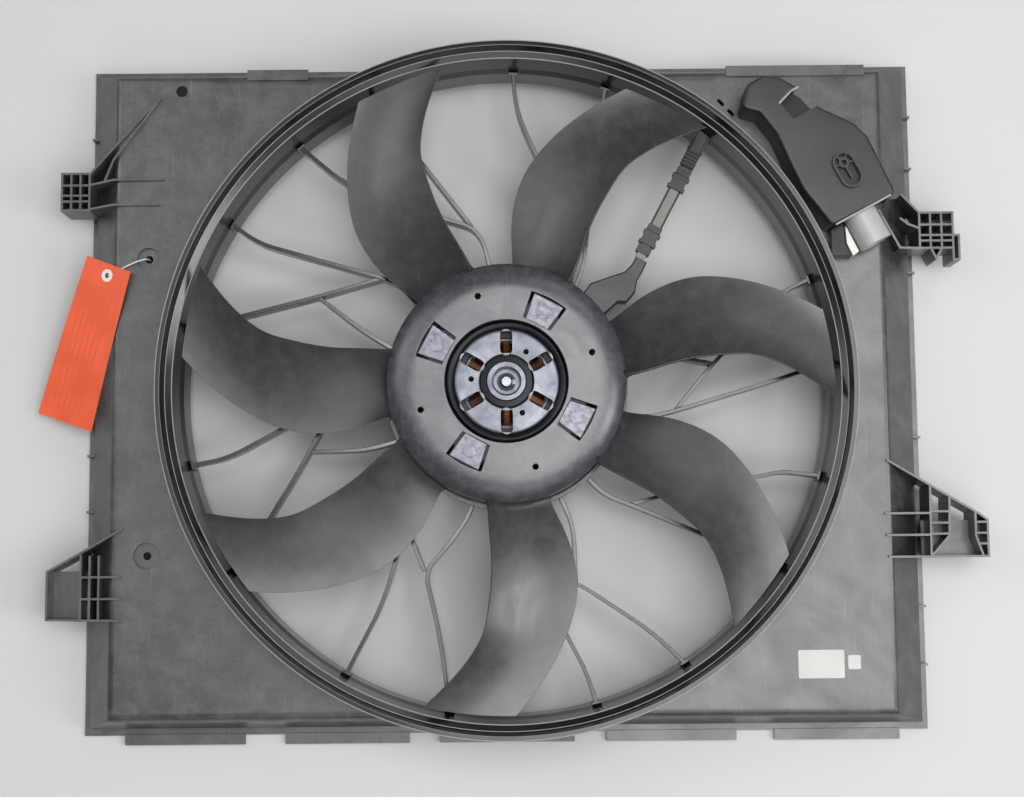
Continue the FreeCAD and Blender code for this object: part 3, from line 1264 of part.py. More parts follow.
# Hang tag.
# The card leans on the rounded shoulder of the panel, its lower end near the floor.
TAG = (Vector(-356.4, 118.3, 36.5), Vector(-315.7, 101.3, 51.5), Vector(-352.0, -31.8, 30.5))
TAG_LAST = (-0.23, 1.021)
CARD_THICK, EYELET_RADIUS, EYELET_HOLE = 0.5, 5.4, 2.2
STRING_RADIUS = 0.55
tag_shift = Vector(float(wall_left) + 353.5, 0, float(panel_top) - 44.0)
tag_points = [corner + tag_shift for corner in TAG]
tag_across, tag_down = tag_points[1] - tag_points[0], tag_points[2] - tag_points[1]
tag_points.append(tag_points[0] + tag_across * TAG_LAST[0] + tag_down * TAG_LAST[1])
tag_up = tag_down.cross(tag_across).normalize()
tag_up = tag_up if tag_up.z > 0 else tag_up * -1.0
eyelet_centre = tag_points[0] + tag_across * 0.529 + tag_down * 0.0713
card = Part.Face(Part.makePolygon(tag_points + tag_points[:1])).extrude(tag_up * CARD_THICK)
card = card.cut(Part.makeCylinder(EYELET_RADIUS - 1.5, 6, eyelet_centre - tag_up * 3, tag_up))
pieces.append(solid_piece("hang_tag", card))
washer = Part.makeCylinder(EYELET_RADIUS, 0.6, eyelet_centre + tag_up * (CARD_THICK + 0.02), tag_up)
washer = washer.fuse(Part.makeCylinder(EYELET_RADIUS - 1.55, CARD_THICK + 0.3, eyelet_centre, tag_up))
washer = washer.cut(Part.makeCylinder(EYELET_HOLE, 8, eyelet_centre - tag_up * 3, tag_up))
pieces.append(solid_piece("tag_eyelet", washer.removeSplitter()))


def string_knot(radius, top, away):
    """Knot as a short eight-sided drum below its top point."""
    corners = [polar(radius, 45.0 * corner) for corner in range(8)]
    drum = Part.Face(Part.makePolygon(corners + corners[:1])).extrude(Vector(0, 0, 1.4 * radius))
    drum.Placement = Placement(top, Rotation(Vector(0, 0, 1), away))
    return drum


def make_string():
    """String from the knot under its hole, over the card and down its eyelet."""
    hole = Vector(float(STRING_HOLE[0]), float(STRING_HOLE[1]), float(cup_floor) - 1.0)
    over = eyelet_centre + tag_up * 2.6
    route = [hole, hole + Vector(0, 0, 11.0), hole * 0.5 + over * 0.5 + Vector(0, 0, 9.5),
             over + Vector(2.5, 1.0, 0.8), eyelet_centre - tag_up * 0.8]
    wire = smooth_wire(route)
    section = [route[0] + polar(STRING_RADIUS, 60.0 * corner) for corner in range(6)]
    tube = wire.makePipeShell([Part.makePolygon(section + section[:1])], True, False)
    upper = string_knot(4.0, hole + Vector(0, 0, 0.4), Vector(0, 0, -1))
    lower = string_knot(1.8, route[-1] + tag_up * 0.3, tag_up * -1.0)
    return tube.fuse([upper, lower]).removeSplitter()


pieces.append(solid_piece("tag_string", make_string()))

# Writing.
doc.recompute()
bad = [obj.Name for obj in doc.Objects if "Invalid" in obj.State or "Error" in obj.State]
if bad:
    raise RuntimeError(f"objects that did not build: {bad}")
for piece in pieces:
    if piece.Shape.isNull() or not piece.Shape.isValid() or not piece.Shape.Solids:
        raise RuntimeError(f"{piece.Label} has no sound shape")
os.makedirs("parts", exist_ok=True)
for piece in pieces:
    piece.Shape.exportStep(f"parts/{piece.Label}.step")
    print(f"{piece.Label}: {len(piece.Shape.Solids)} solid(s), {piece.Shape.Volume / 1000.0:.1f} cm3")
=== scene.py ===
import logging
import math
from collections.abc import Iterator
from contextlib import contextmanager
from dataclasses import dataclass, field
from enum import Enum

import bmesh
import bpy
from mathutils import Matrix, Vector


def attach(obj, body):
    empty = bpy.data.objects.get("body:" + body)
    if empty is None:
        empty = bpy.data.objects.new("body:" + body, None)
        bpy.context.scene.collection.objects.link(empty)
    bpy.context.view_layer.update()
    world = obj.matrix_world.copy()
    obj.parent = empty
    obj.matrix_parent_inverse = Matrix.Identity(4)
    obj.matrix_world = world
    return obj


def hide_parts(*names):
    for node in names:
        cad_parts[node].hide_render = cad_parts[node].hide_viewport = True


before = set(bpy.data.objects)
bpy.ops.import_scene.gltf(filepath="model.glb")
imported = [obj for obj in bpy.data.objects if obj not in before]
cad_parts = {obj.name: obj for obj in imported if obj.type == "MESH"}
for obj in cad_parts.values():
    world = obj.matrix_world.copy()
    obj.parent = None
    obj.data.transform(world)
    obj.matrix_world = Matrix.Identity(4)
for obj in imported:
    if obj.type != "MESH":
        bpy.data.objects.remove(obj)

MM = 0.001
log = logging.getLogger("cooling_fan")
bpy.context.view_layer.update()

Point = tuple[float, float]
Point3 = tuple[float, float, float]
Socket = bpy.types.NodeSocket
Tree = bpy.types.NodeTree


class Body(Enum):
    """The two bodies of the module."""

    SHROUD = "shroud"
    ROTOR = "rotor"


# Colour and nodes


def linear(colour: str) -> tuple[float, float, float, float]:
    """Turn an sRGB hex colour into linear light.

    Args:
        colour: the colour as "#rrggbb".

    Returns:
        Red, green, blue and a full alpha, in linear light.
    """
    parts = [int(colour[start:start + 2], 16) / 255.0 for start in (1, 3, 5)]
    light = [part / 12.92 if part <= 0.04045 else ((part + 0.055) / 1.055) ** 2.4 for part in parts]
    return (*light, 1.0)


def add_node(tree: Tree, kind: str, settings: dict | None = None,
             inputs: dict | None = None) -> bpy.types.Node:
    """Add one node to a tree.

    Args:
        tree: the tree that the node joins.
        kind: the node's type name.
        settings: properties to set on the node.
        inputs: values or sockets for its inputs, by name or number.

    Returns:
        The node.
    """
    node = tree.nodes.new(kind)
    for name, value in (settings or {}).items():
        setattr(node, name, value)
    for key, value in (inputs or {}).items():
        if isinstance(value, Socket):
            tree.links.new(value, node.inputs[key])
        else:
            node.inputs[key].default_value = value
    return node


def reckon(tree: Tree, operation: str, *values: object, clamp: bool = False) -> Socket:
    """Output of a Math node.

    Args:
        tree: the tree that the node joins.
        operation: what it works out.
        values: its numbers or sockets, in order.
        clamp: whether the result is held between 0 and 1.

    Returns:
        Socket of the result.
    """
    return add_node(tree, "ShaderNodeMath", {"operation": operation, "use_clamp": clamp},
                    dict(enumerate(values))).outputs[0]


def noise(tree: Tree, place: Socket, size: float, detail: float, **more: float) -> Socket:
    """Cloudy noise.

    Args:
        tree: the tree that the node joins.
        place: socket of the coordinates.
        size: width of a cloud in metres.
        detail: how many finer layers it has.
        more: other inputs by name.

    Returns:
        Socket of the noise.
    """
    return add_node(tree, "ShaderNodeTexNoise", None, {
        "Vector": place, "Scale": 1.0 / size, "Detail": detail, **more}).outputs["Fac"]


def spread(tree: Tree, value: Socket, source: Point, result: Point) -> Socket:
    """Map one range of values onto another.

    Args:
        tree: the tree that the node joins.
        value: socket of the value.
        source: least and greatest value that count.
        result: what they turn into.

    Returns:
        Socket of the result.
    """
    return add_node(tree, "ShaderNodeMapRange", None, {
        "Value": value, "From Min": source[0], "From Max": source[1],
        "To Min": result[0], "To Max": result[1]}).outputs["Result"]


def blend(tree: Tree, share: Socket, colour: str, other: str) -> Socket:
    """Mix of two hex colours, with a share of the second."""
    return add_node(tree, "ShaderNodeMix", {"data_type": "RGBA"}, {
        0: share, 6: linear(colour), 7: linear(other)}).outputs[2]


def relief(tree: Tree, height: Socket, depth_mm: float) -> Socket:
    """Normal of a surface that a height from 0 to 1 roughens by a depth."""
    return add_node(tree, "ShaderNodeBump", None, {
        "Height": height, "Strength": 1.0, "Distance": depth_mm * MM}).outputs["Normal"]


# Finishes


@dataclass(frozen=True)
class Finish:
    """What all finishes share: a name, a colour, its worn shade and a roughness."""

    name: str
    colour: str
    worn: str
    roughness: float

    def surface(self, tree: Tree, place: Socket) -> dict:
        """Inputs of the surface by name; each kind of finish works out its own."""
        raise NotImplementedError

    def material(self) -> bpy.types.Material:
        """Build the material."""
        made = bpy.data.materials.new(self.name)
        made.use_nodes = True
        tree = made.node_tree
        tree.nodes.clear()
        place = add_node(tree, "ShaderNodeTexCoord").outputs["Object"]
        surface = add_node(tree, "ShaderNodeBsdfPrincipled", None, self.surface(tree, place))
        add_node(tree, "ShaderNodeOutputMaterial", None, {"Surface": surface.outputs["BSDF"]})
        return made


@dataclass(frozen=True)
class MouldedPlastic(Finish):
    """Injection-moulded plastic: spark-eroded grain, flow marks, scuffs and dust.

    The grain breaks the sheen up, the flow marks change its gloss over some
    centimetres, and fine scuffs and specks lie on it as on a handled moulding.
    """

    gloss_spread: float = 0.10
    flow_mm: float = 60.0
    grain_mm: float = 0.9
    grain_depth_mm: float = 0.03
    smudge: float = 0.35
    specular: float = 0.5
    scuff: float = 0.0
    dust: float = 0.0

    def surface(self, tree: Tree, place: Socket) -> dict:
        """Inputs of the surface by name."""
        flow = noise(tree, place, self.flow_mm * MM, 4.0, Roughness=0.6, Distortion=1.2)
        smudge = noise(tree, place, self.flow_mm / 4.0 * MM, 6.0, Roughness=0.72)
        grain = noise(tree, place, self.grain_mm * MM, 2.0)
        marks = spread(tree, smudge, (0.42, 0.72), (0.0, self.smudge))
        if self.scuff:
            marks = reckon(tree, "ADD", marks, self.scuffs(tree, place), clamp=True)
        if self.dust:
            marks = reckon(tree, "ADD", marks, self.specks(tree, place), clamp=True)
        cloud = reckon(tree, "MULTIPLY_ADD", smudge, 0.35, flow)
        return {
            "Base Color": blend(tree, marks, self.colour, self.worn),
            "Roughness": spread(tree, cloud, (0.45, 0.90), (self.roughness - self.gloss_spread,
                                                            self.roughness + self.gloss_spread)),
            "Specular IOR Level": self.specular, "Normal": relief(tree, grain, self.grain_depth_mm)}

    def scuffs(self, tree: Tree, place: Socket) -> Socket:
        """Share that fine rub marks lighten, some centimetres long and a millimetre wide."""
        turned = add_node(tree, "ShaderNodeMapping", None, {
            "Vector": place, "Rotation": (0.3, 0.2, math.radians(31.0)),
            "Scale": tuple(1.0 / (size * MM) for size in (1.6, 38.0, 12.0))})
        lines = noise(tree, turned.outputs[0], 1.0, 3.0, Distortion=0.6)
        return spread(tree, lines, (0.60, 0.74), (0.0, self.scuff))

    def specks(self, tree: Tree, place: Socket) -> Socket:
        """Share that dust lightens: a speck every centimetre or so, drawn a millimetre wide."""
        cells = add_node(tree, "ShaderNodeTexVoronoi", None, {
            "Vector": place, "Scale": 1.0 / (11.0 * MM), "Randomness": 1.0})
        return spread(tree, cells.outputs["Distance"], (0.03, 0.06), (self.dust, 0.0))


@dataclass(frozen=True)
class WorkedMetal(Finish):
    """Bare metal with its tool marks: turned rings about the fan axis, or none.

    The rings pull the highlight into a fan shape on a spun or turned face, and
    the stains dull it where it was handled.
    """

    ring_mm: float = 0.0
    ring_depth_mm: float = 0.02
    stain_mm: float = 12.0
    stain_share: float = 0.35

    def surface(self, tree: Tree, place: Socket) -> dict:
        """Inputs of the surface by name."""
        stain = noise(tree, place, self.stain_mm * MM, 6.0, Roughness=0.65)
        share = spread(tree, stain, (0.35, 0.75), (0.0, self.stain_share))
        inputs = {
            "Base Color": blend(tree, share, self.colour, self.worn), "Metallic": 1.0,
            "Roughness": spread(tree, stain, (0.3, 0.7), (self.roughness * 0.8, self.roughness * 1.3))}
        if self.ring_mm:
            inputs["Normal"] = relief(tree, self.rings(tree, place), self.ring_depth_mm)
        return inputs

    def rings(self, tree: Tree, place: Socket) -> Socket:
        """Height of the turned rings, as a wave that runs out from the fan axis."""
        split = add_node(tree, "ShaderNodeSeparateXYZ", None, {0: place})
        flat = add_node(tree, "ShaderNodeCombineXYZ", None, {0: split.outputs[0], 1: split.outputs[1]})
        reach = add_node(tree, "ShaderNodeVectorMath", {"operation": "LENGTH"}, {0: flat.outputs[0]})
        return reckon(tree, "SINE", reckon(
            tree, "MULTIPLY", reach.outputs["Value"], math.tau / (self.ring_mm * MM)))


@dataclass(frozen=True)
class PrintedCard(Finish):
    """Coated card: paper fibre under a thin gloss, soft shading and blank ruled lines."""

    fibre_mm: float = 1.2
    fibre_depth_mm: float = 0.02
    rules: int = 0
    rule_share: float = 0.0

    def surface(self, tree: Tree, place: Socket) -> dict:
        """Inputs of the surface by name."""
        share = spread(tree, noise(tree, place, 25.0 * MM, 3.0), (0.35, 0.7), (0.0, 0.5))
        fibre = noise(tree, place, self.fibre_mm * MM, 4.0, Distortion=2.0)
        if self.rules:
            share = reckon(tree, "MAXIMUM", share, self.ruled(tree))
        return {"Base Color": blend(tree, share, self.colour, self.worn), "Roughness": self.roughness,
                "Normal": relief(tree, fibre, self.fibre_depth_mm)}

    def ruled(self, tree: Tree) -> Socket:
        """Share that blank ruled lines darken, read from the card's own UV map."""
        along, across = add_node(tree, "ShaderNodeSeparateXYZ", None, {
            0: add_node(tree, "ShaderNodeTexCoord").outputs["UV"]}).outputs[:2]
        total = reckon(tree, "LESS_THAN",
                       reckon(tree, "FRACT", reckon(tree, "MULTIPLY", across, float(self.rules))), 0.26)
        for spot, low, high in ((along, 0.14, 0.92), (across, 0.2, 0.8)):
            for kind, edge in (("GREATER_THAN", low), ("LESS_THAN", high)):
                total = reckon(tree, "MULTIPLY", total, reckon(tree, kind, spot, edge))
        return reckon(tree, "MULTIPLY", total, self.rule_share)


FINISHES = (
    # Talc-filled polypropylene, moulded: satin black with a broad cloudy sheen.
    ("shroud_plastic", MouldedPlastic("polypropylene_moulded_satin", "#303133", "#565758", 0.35, 0.13,
                                      70.0, smudge=0.7, specular=1.0, scuff=0.5, dust=0.9)),
    # Glass-filled polyamide against a polished mould wall: near-black and glossy.
    ("ring_plastic", MouldedPlastic("polyamide_moulded_polished", "#0e0f11", "#1d1e20", 0.20, 0.06,
                                    90.0, 1.2, 0.01, 0.2, specular=0.7)),
    # Pale beads along the ring's edges and the cover's openings: painted highlights that draw their bright
    # lines.
    ("edge_plastic", MouldedPlastic("polyamide_painted_highlight_pale", "#8d8e8f", "#6f7071", 0.30, 0.06, 60.0)),
    # Glass-filled polyamide with a finer grain: charcoal with a soft silky sheen.
    ("fan_plastic", MouldedPlastic("polyamide_moulded_silky", "#2b2c2e", "#4b4c4d", 0.36, 0.08,
                                   45.0, 0.8, 0.02, 0.4, specular=0.9, scuff=0.25, dust=0.7)),
    # The hub's face, smoother from its mould core: it mirrors the light above as a pale veil; the faint
    # lavender tint of its two colours is painted in for the tint of that reflection.
    ("hub_plastic", MouldedPlastic("polyamide_moulded_smooth", "#303136", "#5b5c64", 0.35, 0.06,
                                   30.0, 0.7, 0.012, 0.5, specular=1.0, scuff=0.3, dust=0.5)),
    # The cover's ABS: an even, slightly lighter charcoal.
    ("cover_plastic", MouldedPlastic("abs_moulded_matt", "#222324", "#38393a", 0.40, 0.07, 40.0, 0.8, 0.02,
                                     specular=0.5, scuff=0.2, dust=0.6)),
    # The plug's polyester: pale warm grey with an even satin sheen.
    ("connector_plastic", MouldedPlastic("pbt_moulded_grey", "#a3a4a1", "#b5b5b1", 0.34, 0.05, 20.0)),
    # Black polyester of clips and holders: flat and dark beside the plug; the same near-black also lines the
    # cover's window, pocket and eye hole as painted shade.
    ("dark_plastic", MouldedPlastic("pbt_black_and_painted_shade", "#0e0f11", "#1c1d1f", 0.34, 0.06, 20.0,
                                    specular=0.4)),
    # Natural nylon of the lock and the eyelet: a soft warm white.
    ("white_plastic", MouldedPlastic("nylon_moulded_white", "#dcdcd6", "#c9c8c0", 0.42, 0.05, 20.0)),
    # Extruded jacket of the flat lead: dull grey-green.
    ("lead_jacket", MouldedPlastic("pvc_extruded_grey_green", "#6a6e66", "#7b7e76", 0.42, 0.05, 20.0)),
    # Die-cast housing: light grey, cloudy and unpolished.
    ("motor_aluminium", WorkedMetal("aluminium_die_cast", "#8d8e90", "#66676a", 0.46, 0.0, 0.0, 9.0)),
    # Solder mask: deep green with a waxy sheen.
    ("board_green", MouldedPlastic("solder_mask_board", "#1f4a31", "#2a5c3e", 0.35)),
    # Stamped laminations: dull blue-grey, seen dark through the vents.
    ("lamination_steel", WorkedMetal("silicon_steel_stamped", "#5b5c60", "#3d3f43", 0.42)),
    # Enamelled copper wire: deep orange with a hard varnish glint.
    ("copper", WorkedMetal("copper_enamelled_wire", "#e39450", "#a85a2c", 0.30, 0.0, 0.0, 6.0, 0.6)),
    # Ground steel: bright, with fine close rings.
    ("bearing_steel", WorkedMetal("bearing_steel_ground", "#85868a", "#6a6c70", 0.26, 0.7, 0.01)),
    # Zinc plating: a pale silvery glint with dull patches.
    ("zinc_steel", WorkedMetal("steel_zinc_plated", "#9c9d9b", "#7c7c78", 0.36)),
    # Pressed and zinc-flaked cup: pale, cloudy and matt, with faint spinning rings.
    ("rotor_steel", WorkedMetal("steel_zinc_flaked", "#7b7e86", "#5d6068", 0.44, 1.5, 0.012, 14.0, 0.5)),
    # Phosphated steel: nearly black, with a low oily sheen.
    ("black_steel", WorkedMetal("steel_phosphated_black", "#26272a", "#3a3b3d", 0.34)),
    # Pressed pad in each window, bright from the light above.
    ("pad_steel", WorkedMetal("steel_pressed_satin", "#75757d", "#55555d", 0.40, 0.0, 0.0, 5.0, 0.5)),
    # Sintered ferrite: matt, dark and grainy.
    ("magnet_ferrite", MouldedPlastic("ferrite_sintered", "#2a2a2d", "#3a3a3d", 0.55)),
    # The tag's coated card: warm orange-red with darker ruled lines.
    ("tag_card", PrintedCard("card_coated_orange_red", "#ea6038", "#c9482a", 0.5,
                             rules=10, rule_share=0.5)),
    # Twisted cotton: an off-white string without a sheen.
    ("string_white", PrintedCard("cotton_twisted_white", "#ebe9e1", "#d8d5cb", 0.8, 0.5, 0.05)),
    # Blank paper of the two labels: pale grey against the panel.
    ("label_paper", PrintedCard("paper_label_white", "#c3c3c0", "#b4b3af", 0.5)),
)


class Shop:
    """All finishes of the module, built once, by the name of their slot."""

    def __init__(self) -> None:
        """Build every finish."""
        self.materials = {slot: finish.material() for slot, finish in FINISHES}

    def __getitem__(self, slot: str) -> bpy.types.Material:
        """The material of a slot."""
        return self.materials[slot]


# Meshes


@contextmanager
def edited(mesh: bpy.types.Mesh) -> Iterator[bmesh.types.BMesh]:
    """Open a mesh for work and write it back afterwards."""
    work = bmesh.new()
    work.from_mesh(mesh)
    yield work
    work.to_mesh(mesh)
    work.free()


def linked(name: str, data: bpy.types.ID) -> bpy.types.Object:
    """Make an object that holds the data, in the scene."""
    made = bpy.data.objects.new(name, data)
    bpy.context.collection.objects.link(made)
    return made


def smooth_by_angle(mesh: bpy.types.Mesh, degrees: float = 32.0) -> None:
    """Shade a mesh smooth, but keep the edges that turn by more than an angle.

    Args:
        mesh: the mesh to shade.
        degrees: the least turn of an edge that stays sharp.
    """
    limit = math.radians(degrees)
    with edited(mesh) as work:
        for face in work.faces:
            face.smooth = True
        for edge in work.edges:
            edge.smooth = len(edge.link_faces) == 2 and edge.calc_face_angle(0.0) < limit


def new_piece(name: str, points: list, faces: list, material: bpy.types.Material,
              outward: bool = True) -> bpy.types.Object:
    """Make a mesh object at the origin.

    Args:
        name: the piece's name.
        points: its points, in metres.
        faces: its faces, as lists of point numbers.
        material: its finish.
        outward: whether its normals are worked out again.

    Returns:
        The object, linked to the scene.
    """
    mesh = bpy.data.meshes.new(name)
    mesh.from_pydata(points, [], faces)
    with edited(mesh) as work:
        bmesh.ops.remove_doubles(work, verts=work.verts, dist=0.005 * MM)
        if outward:
            bmesh.ops.recalc_face_normals(work, faces=work.faces)
    mesh.materials.append(material)
    return linked(name, mesh)


def freeze(piece: bpy.types.Object) -> bpy.types.Object:
    """Turn a piece's modifiers into plain mesh.

    Args:
        piece: the object.

    Returns:
        The same object, with no modifier left.
    """
    graph = bpy.context.evaluated_depsgraph_get()
    graph.update()
    mesh = bpy.data.meshes.new_from_object(piece.evaluated_get(graph))
    piece.modifiers.clear()
    piece.data = mesh
    return piece


def carve(piece: bpy.types.Object, cutter: bpy.types.Object, crossing: bool = False) -> bpy.types.Object:
    """Take a cutter's room out of a piece and delete the cutter.

    Args:
        piece: the object that is cut.
        cutter: closed object that marks the room.
        crossing: whether the piece's own solids cross each other.

    Returns:
        The cut object.
    """
    knife = piece.modifiers.new("cut", "BOOLEAN")
    knife.object = cutter
    knife.operation = "DIFFERENCE"
    knife.solver = "EXACT"
    knife.material_mode = "TRANSFER"
    knife.use_self = crossing
    freeze(piece)
    bpy.data.objects.remove(cutter)
    return piece


@dataclass
class SolidSet:
    """Closed solids, in millimetres, gathered into one mesh."""

    points: list[Point3] = field(default_factory=list)
    faces: list[list[int]] = field(default_factory=list)

    def layers(self, low: list[Point3], high: list[Point3]) -> None:
        """Add a solid between two outlines with as many points each.

        Args:
            low: points of the lower outline.
            high: points of the upper outline.
        """
        base, count = len(self.points), len(low)
        self.points += low + high
        self.faces.append([base + index for index in range(count)][::-1])
        self.faces.append([base + count + index for index in range(count)])
        for index in range(count):
            other = (index + 1) % count
            self.faces.append([base + index, base + other, base + count + other, base + count + index])

    def prism(self, outline: list[Point], low: float, high: float) -> None:
        """Add an upright prism over an outline."""
        self.layers([(x, y, low) for x, y in outline], [(x, y, high) for x, y in outline])

    def piece(self, name: str, material: bpy.types.Material) -> bpy.types.Object:
        """Make the object.

        Args:
            name: the piece's name.
            material: its finish.

        Returns:
            The object.
        """
        return new_piece(name, [(x * MM, y * MM, z * MM) for x, y, z in self.points], self.faces, material)


def polar(reach: float, degrees: float) -> Point:
    """Point in plan at a distance and a direction."""
    turn = math.radians(degrees)
    return reach * math.cos(turn), reach * math.sin(turn)


def circle_outline(centre: Point, radius: float, steps: int = 32) -> list[Point]:
    """Points of a circle in plan."""
    return [(centre[0] + radius * math.cos(math.tau * step / steps),
             centre[1] + radius * math.sin(math.tau * step / steps)) for step in range(steps)]


def obround(centre: Point, half: float, radius: float, turn: float, steps: int = 14) -> list[Point]:
    """Outline of a slot with round ends.

    Args:
        centre: its middle in plan.
        half: half the distance between the centres of its ends.
        radius: radius of its ends.
        turn: direction of its length in degrees.
        steps: faces on each end.

    Returns:
        The outline's points.
    """
    points = []
    for end in (0, 1):
        for step in range(steps + 1):
            angle = math.radians(turn + 180.0 * end - 90.0 + 180.0 * step / steps)
            along = math.radians(turn + 180.0 * end)
            points.append((centre[0] + half * math.cos(along) + radius * math.cos(angle),
                           centre[1] + half * math.sin(along) + radius * math.sin(angle)))
    return points


def bar(start: Point, end: Point, radius: float) -> list[Point]:
    """Outline of a round-ended bar between two points in plan."""
    run = Vector(end) - Vector(start)
    middle = (Vector(start) + Vector(end)) / 2.0
    return obround((middle.x, middle.y), run.length / 2.0, radius, math.degrees(math.atan2(run.y, run.x)))


def bevelled(piece: bpy.types.Object, width_mm: float, segments: int = 2,
             degrees: float = 30.0) -> bpy.types.Object:
    """Round a piece's sharp edges and keep its flats flat.

    Args:
        piece: the object.
        width_mm: width of the rounding in millimetres.
        segments: steps of the rounding.
        degrees: the least turn of an edge that is rounded.

    Returns:
        The same object.
    """
    smooth_by_angle(piece.data, degrees)
    rounding = piece.modifiers.new("rounded_edges", "BEVEL")
    rounding.width = width_mm * MM
    rounding.segments = segments
    rounding.limit_method = "ANGLE"
    rounding.angle_limit = math.radians(degrees)
    rounding.use_clamp_overlap = True
    rounding.harden_normals = True
    return piece


def merged_copy(node: str, name: str, material: bpy.types.Material) -> bpy.types.Object:
    """Copy a CAD node as one merged mesh with flat faces joined.

    Args:
        node: the CAD node.
        name: name of the new piece.
        material: its finish.

    Returns:
        The new object.
    """
    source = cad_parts[node].data
    made = new_piece(name, [vertex.co[:] for vertex in source.vertices],
                     [list(face.vertices) for face in source.polygons], material, outward=False)
    with edited(made.data) as work:
        bmesh.ops.dissolve_degenerate(work, dist=0.002 * MM, edges=work.edges)
        bmesh.ops.dissolve_limit(work, angle_limit=math.radians(0.3), verts=work.verts, edges=work.edges)
    return made


def settle(piece: bpy.types.Object, body: Body, slot: str, *nodes: str) -> bpy.types.Object:
    """Give a finished piece its body and hide the nodes that it stands for.

    Args:
        piece: the finished object.
        body: the body that it moves with.
        slot: the slot of its finish; not used.
        nodes: CAD nodes that it replaces.

    Returns:
        The same object.
    """
    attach(piece, body.value)
    if nodes:
        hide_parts(*nodes)
    log.info("%s on %s", piece.name, body.value)
    return piece


def dress_node(node: str, material: bpy.types.Material) -> None:
    """Give a CAD node that stays its finish.

    Args:
        node: the CAD node.
        material: the finish.
    """
    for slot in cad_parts[node].material_slots:
        slot.material = material
    log.info("%s keeps its CAD shape", node)


def rounded(corners: list[Point], radius: float, steps: int = 4) -> list[Point]:
    """Round the corners of a closed outline.

    Args:
        corners: the outline's corners.
        radius: radius of the rounding, made smaller where a side is short.
        steps: points less one on each rounding.

    Returns:
        The outline's points.
    """
    points: list[Point] = []
    for index, corner in enumerate(corners):
        here = Vector(corner)
        back = Vector(corners[index - 1]) - here
        ahead = Vector(corners[(index + 1) % len(corners)]) - here
        turn = math.pi - back.angle(ahead)
        if turn < 0.02:
            points.append(corner)
            continue
        reach = min(radius * math.tan(turn / 2.0), 0.45 * back.length, 0.45 * ahead.length)
        start, end = here + back.normalized() * reach, here + ahead.normalized() * reach
        for step in range(steps + 1):
            share = step / steps
            mix = (1 - share) ** 2 * start + 2 * share * (1 - share) * here + share ** 2 * end
            points.append((mix.x, mix.y))
    return points


# Geometry Nodes


class NodeRecipe:
    """A Geometry Nodes tree with named inputs, applied to a piece and taken off again."""

    def __init__(self, name: str, sockets: dict[str, str]) -> None:
        """Start the tree.

        Args:
            name: name of the tree.
            sockets: its inputs' types by name, besides Geometry and Material.
        """
        self.tree = bpy.data.node_groups.new(name, "GeometryNodeTree")
        face = self.tree.interface
        face.new_socket(name="Geometry", in_out="OUTPUT", socket_type="NodeSocketGeometry")
        face.new_socket(name="Geometry", in_out="INPUT", socket_type="NodeSocketGeometry")
        for label, kind in {**sockets, "Material": "NodeSocketMaterial"}.items():
            face.new_socket(name=label, in_out="INPUT", socket_type=kind)
        self.start = add_node(self.tree, "NodeGroupInput")

    def socket(self, label: str) -> Socket:
        """The output that carries a named input."""
        return self.start.outputs[label]

    def close(self, geometry: Socket) -> None:
        """End the tree.

        Args:
            geometry: the socket of the finished geometry.
        """
        real = add_node(self.tree, "GeometryNodeRealizeInstances", None, {"Geometry": geometry})
        dressed = add_node(self.tree, "GeometryNodeSetMaterial", None, {
            "Geometry": real.outputs["Geometry"], "Material": self.socket("Material")})
        add_node(self.tree, "NodeGroupOutput", None, {"Geometry": dressed.outputs["Geometry"]})

    def repeat(self, count: Socket | int, step: Socket | Point3 = (0.0, 0.0, 0.0),
               turn: Socket | None = None) -> None:
        """End the tree with copies of its piece.

        Args:
            count: how many copies.
            step: way from one copy to the next, in metres.
            turn: each copy's turn about the fan axis in radians, if it has one.
        """
        points = add_node(self.tree, "GeometryNodeMeshLine", None, {"Count": count, "Offset": step})
        inputs = {"Points": points.outputs["Mesh"], "Instance": self.socket("Geometry")}
        if turn is not None:
            inputs["Rotation"] = add_node(self.tree, "ShaderNodeCombineXYZ", None, {2: turn}).outputs[0]
        placed = add_node(self.tree, "GeometryNodeInstanceOnPoints", None, inputs)
        self.close(placed.outputs["Instances"])

    def apply(self, piece: bpy.types.Object, **values: object) -> bpy.types.Object:
        """Run the tree on a piece and keep its result as a plain mesh.

        Args:
            piece: the object whose mesh goes in.
            values: the named inputs, with _ for a space.

        Returns:
            The same object with the new mesh.
        """
        modifier = piece.modifiers.new(self.tree.name, "NODES")
        modifier.node_group = self.tree
        named = {item.name: item.identifier for item in self.tree.interface.items_tree
                 if item.in_out == "INPUT"}
        for label, value in values.items():
            modifier[named[label.replace("_", " ")]] = value
        mesh = freeze(piece).data
        with edited(mesh) as work:
            bmesh.ops.remove_doubles(work, verts=work.verts, dist=0.002 * MM)
            bmesh.ops.recalc_face_normals(work, faces=work.faces)
        smooth_by_angle(mesh)
        return piece


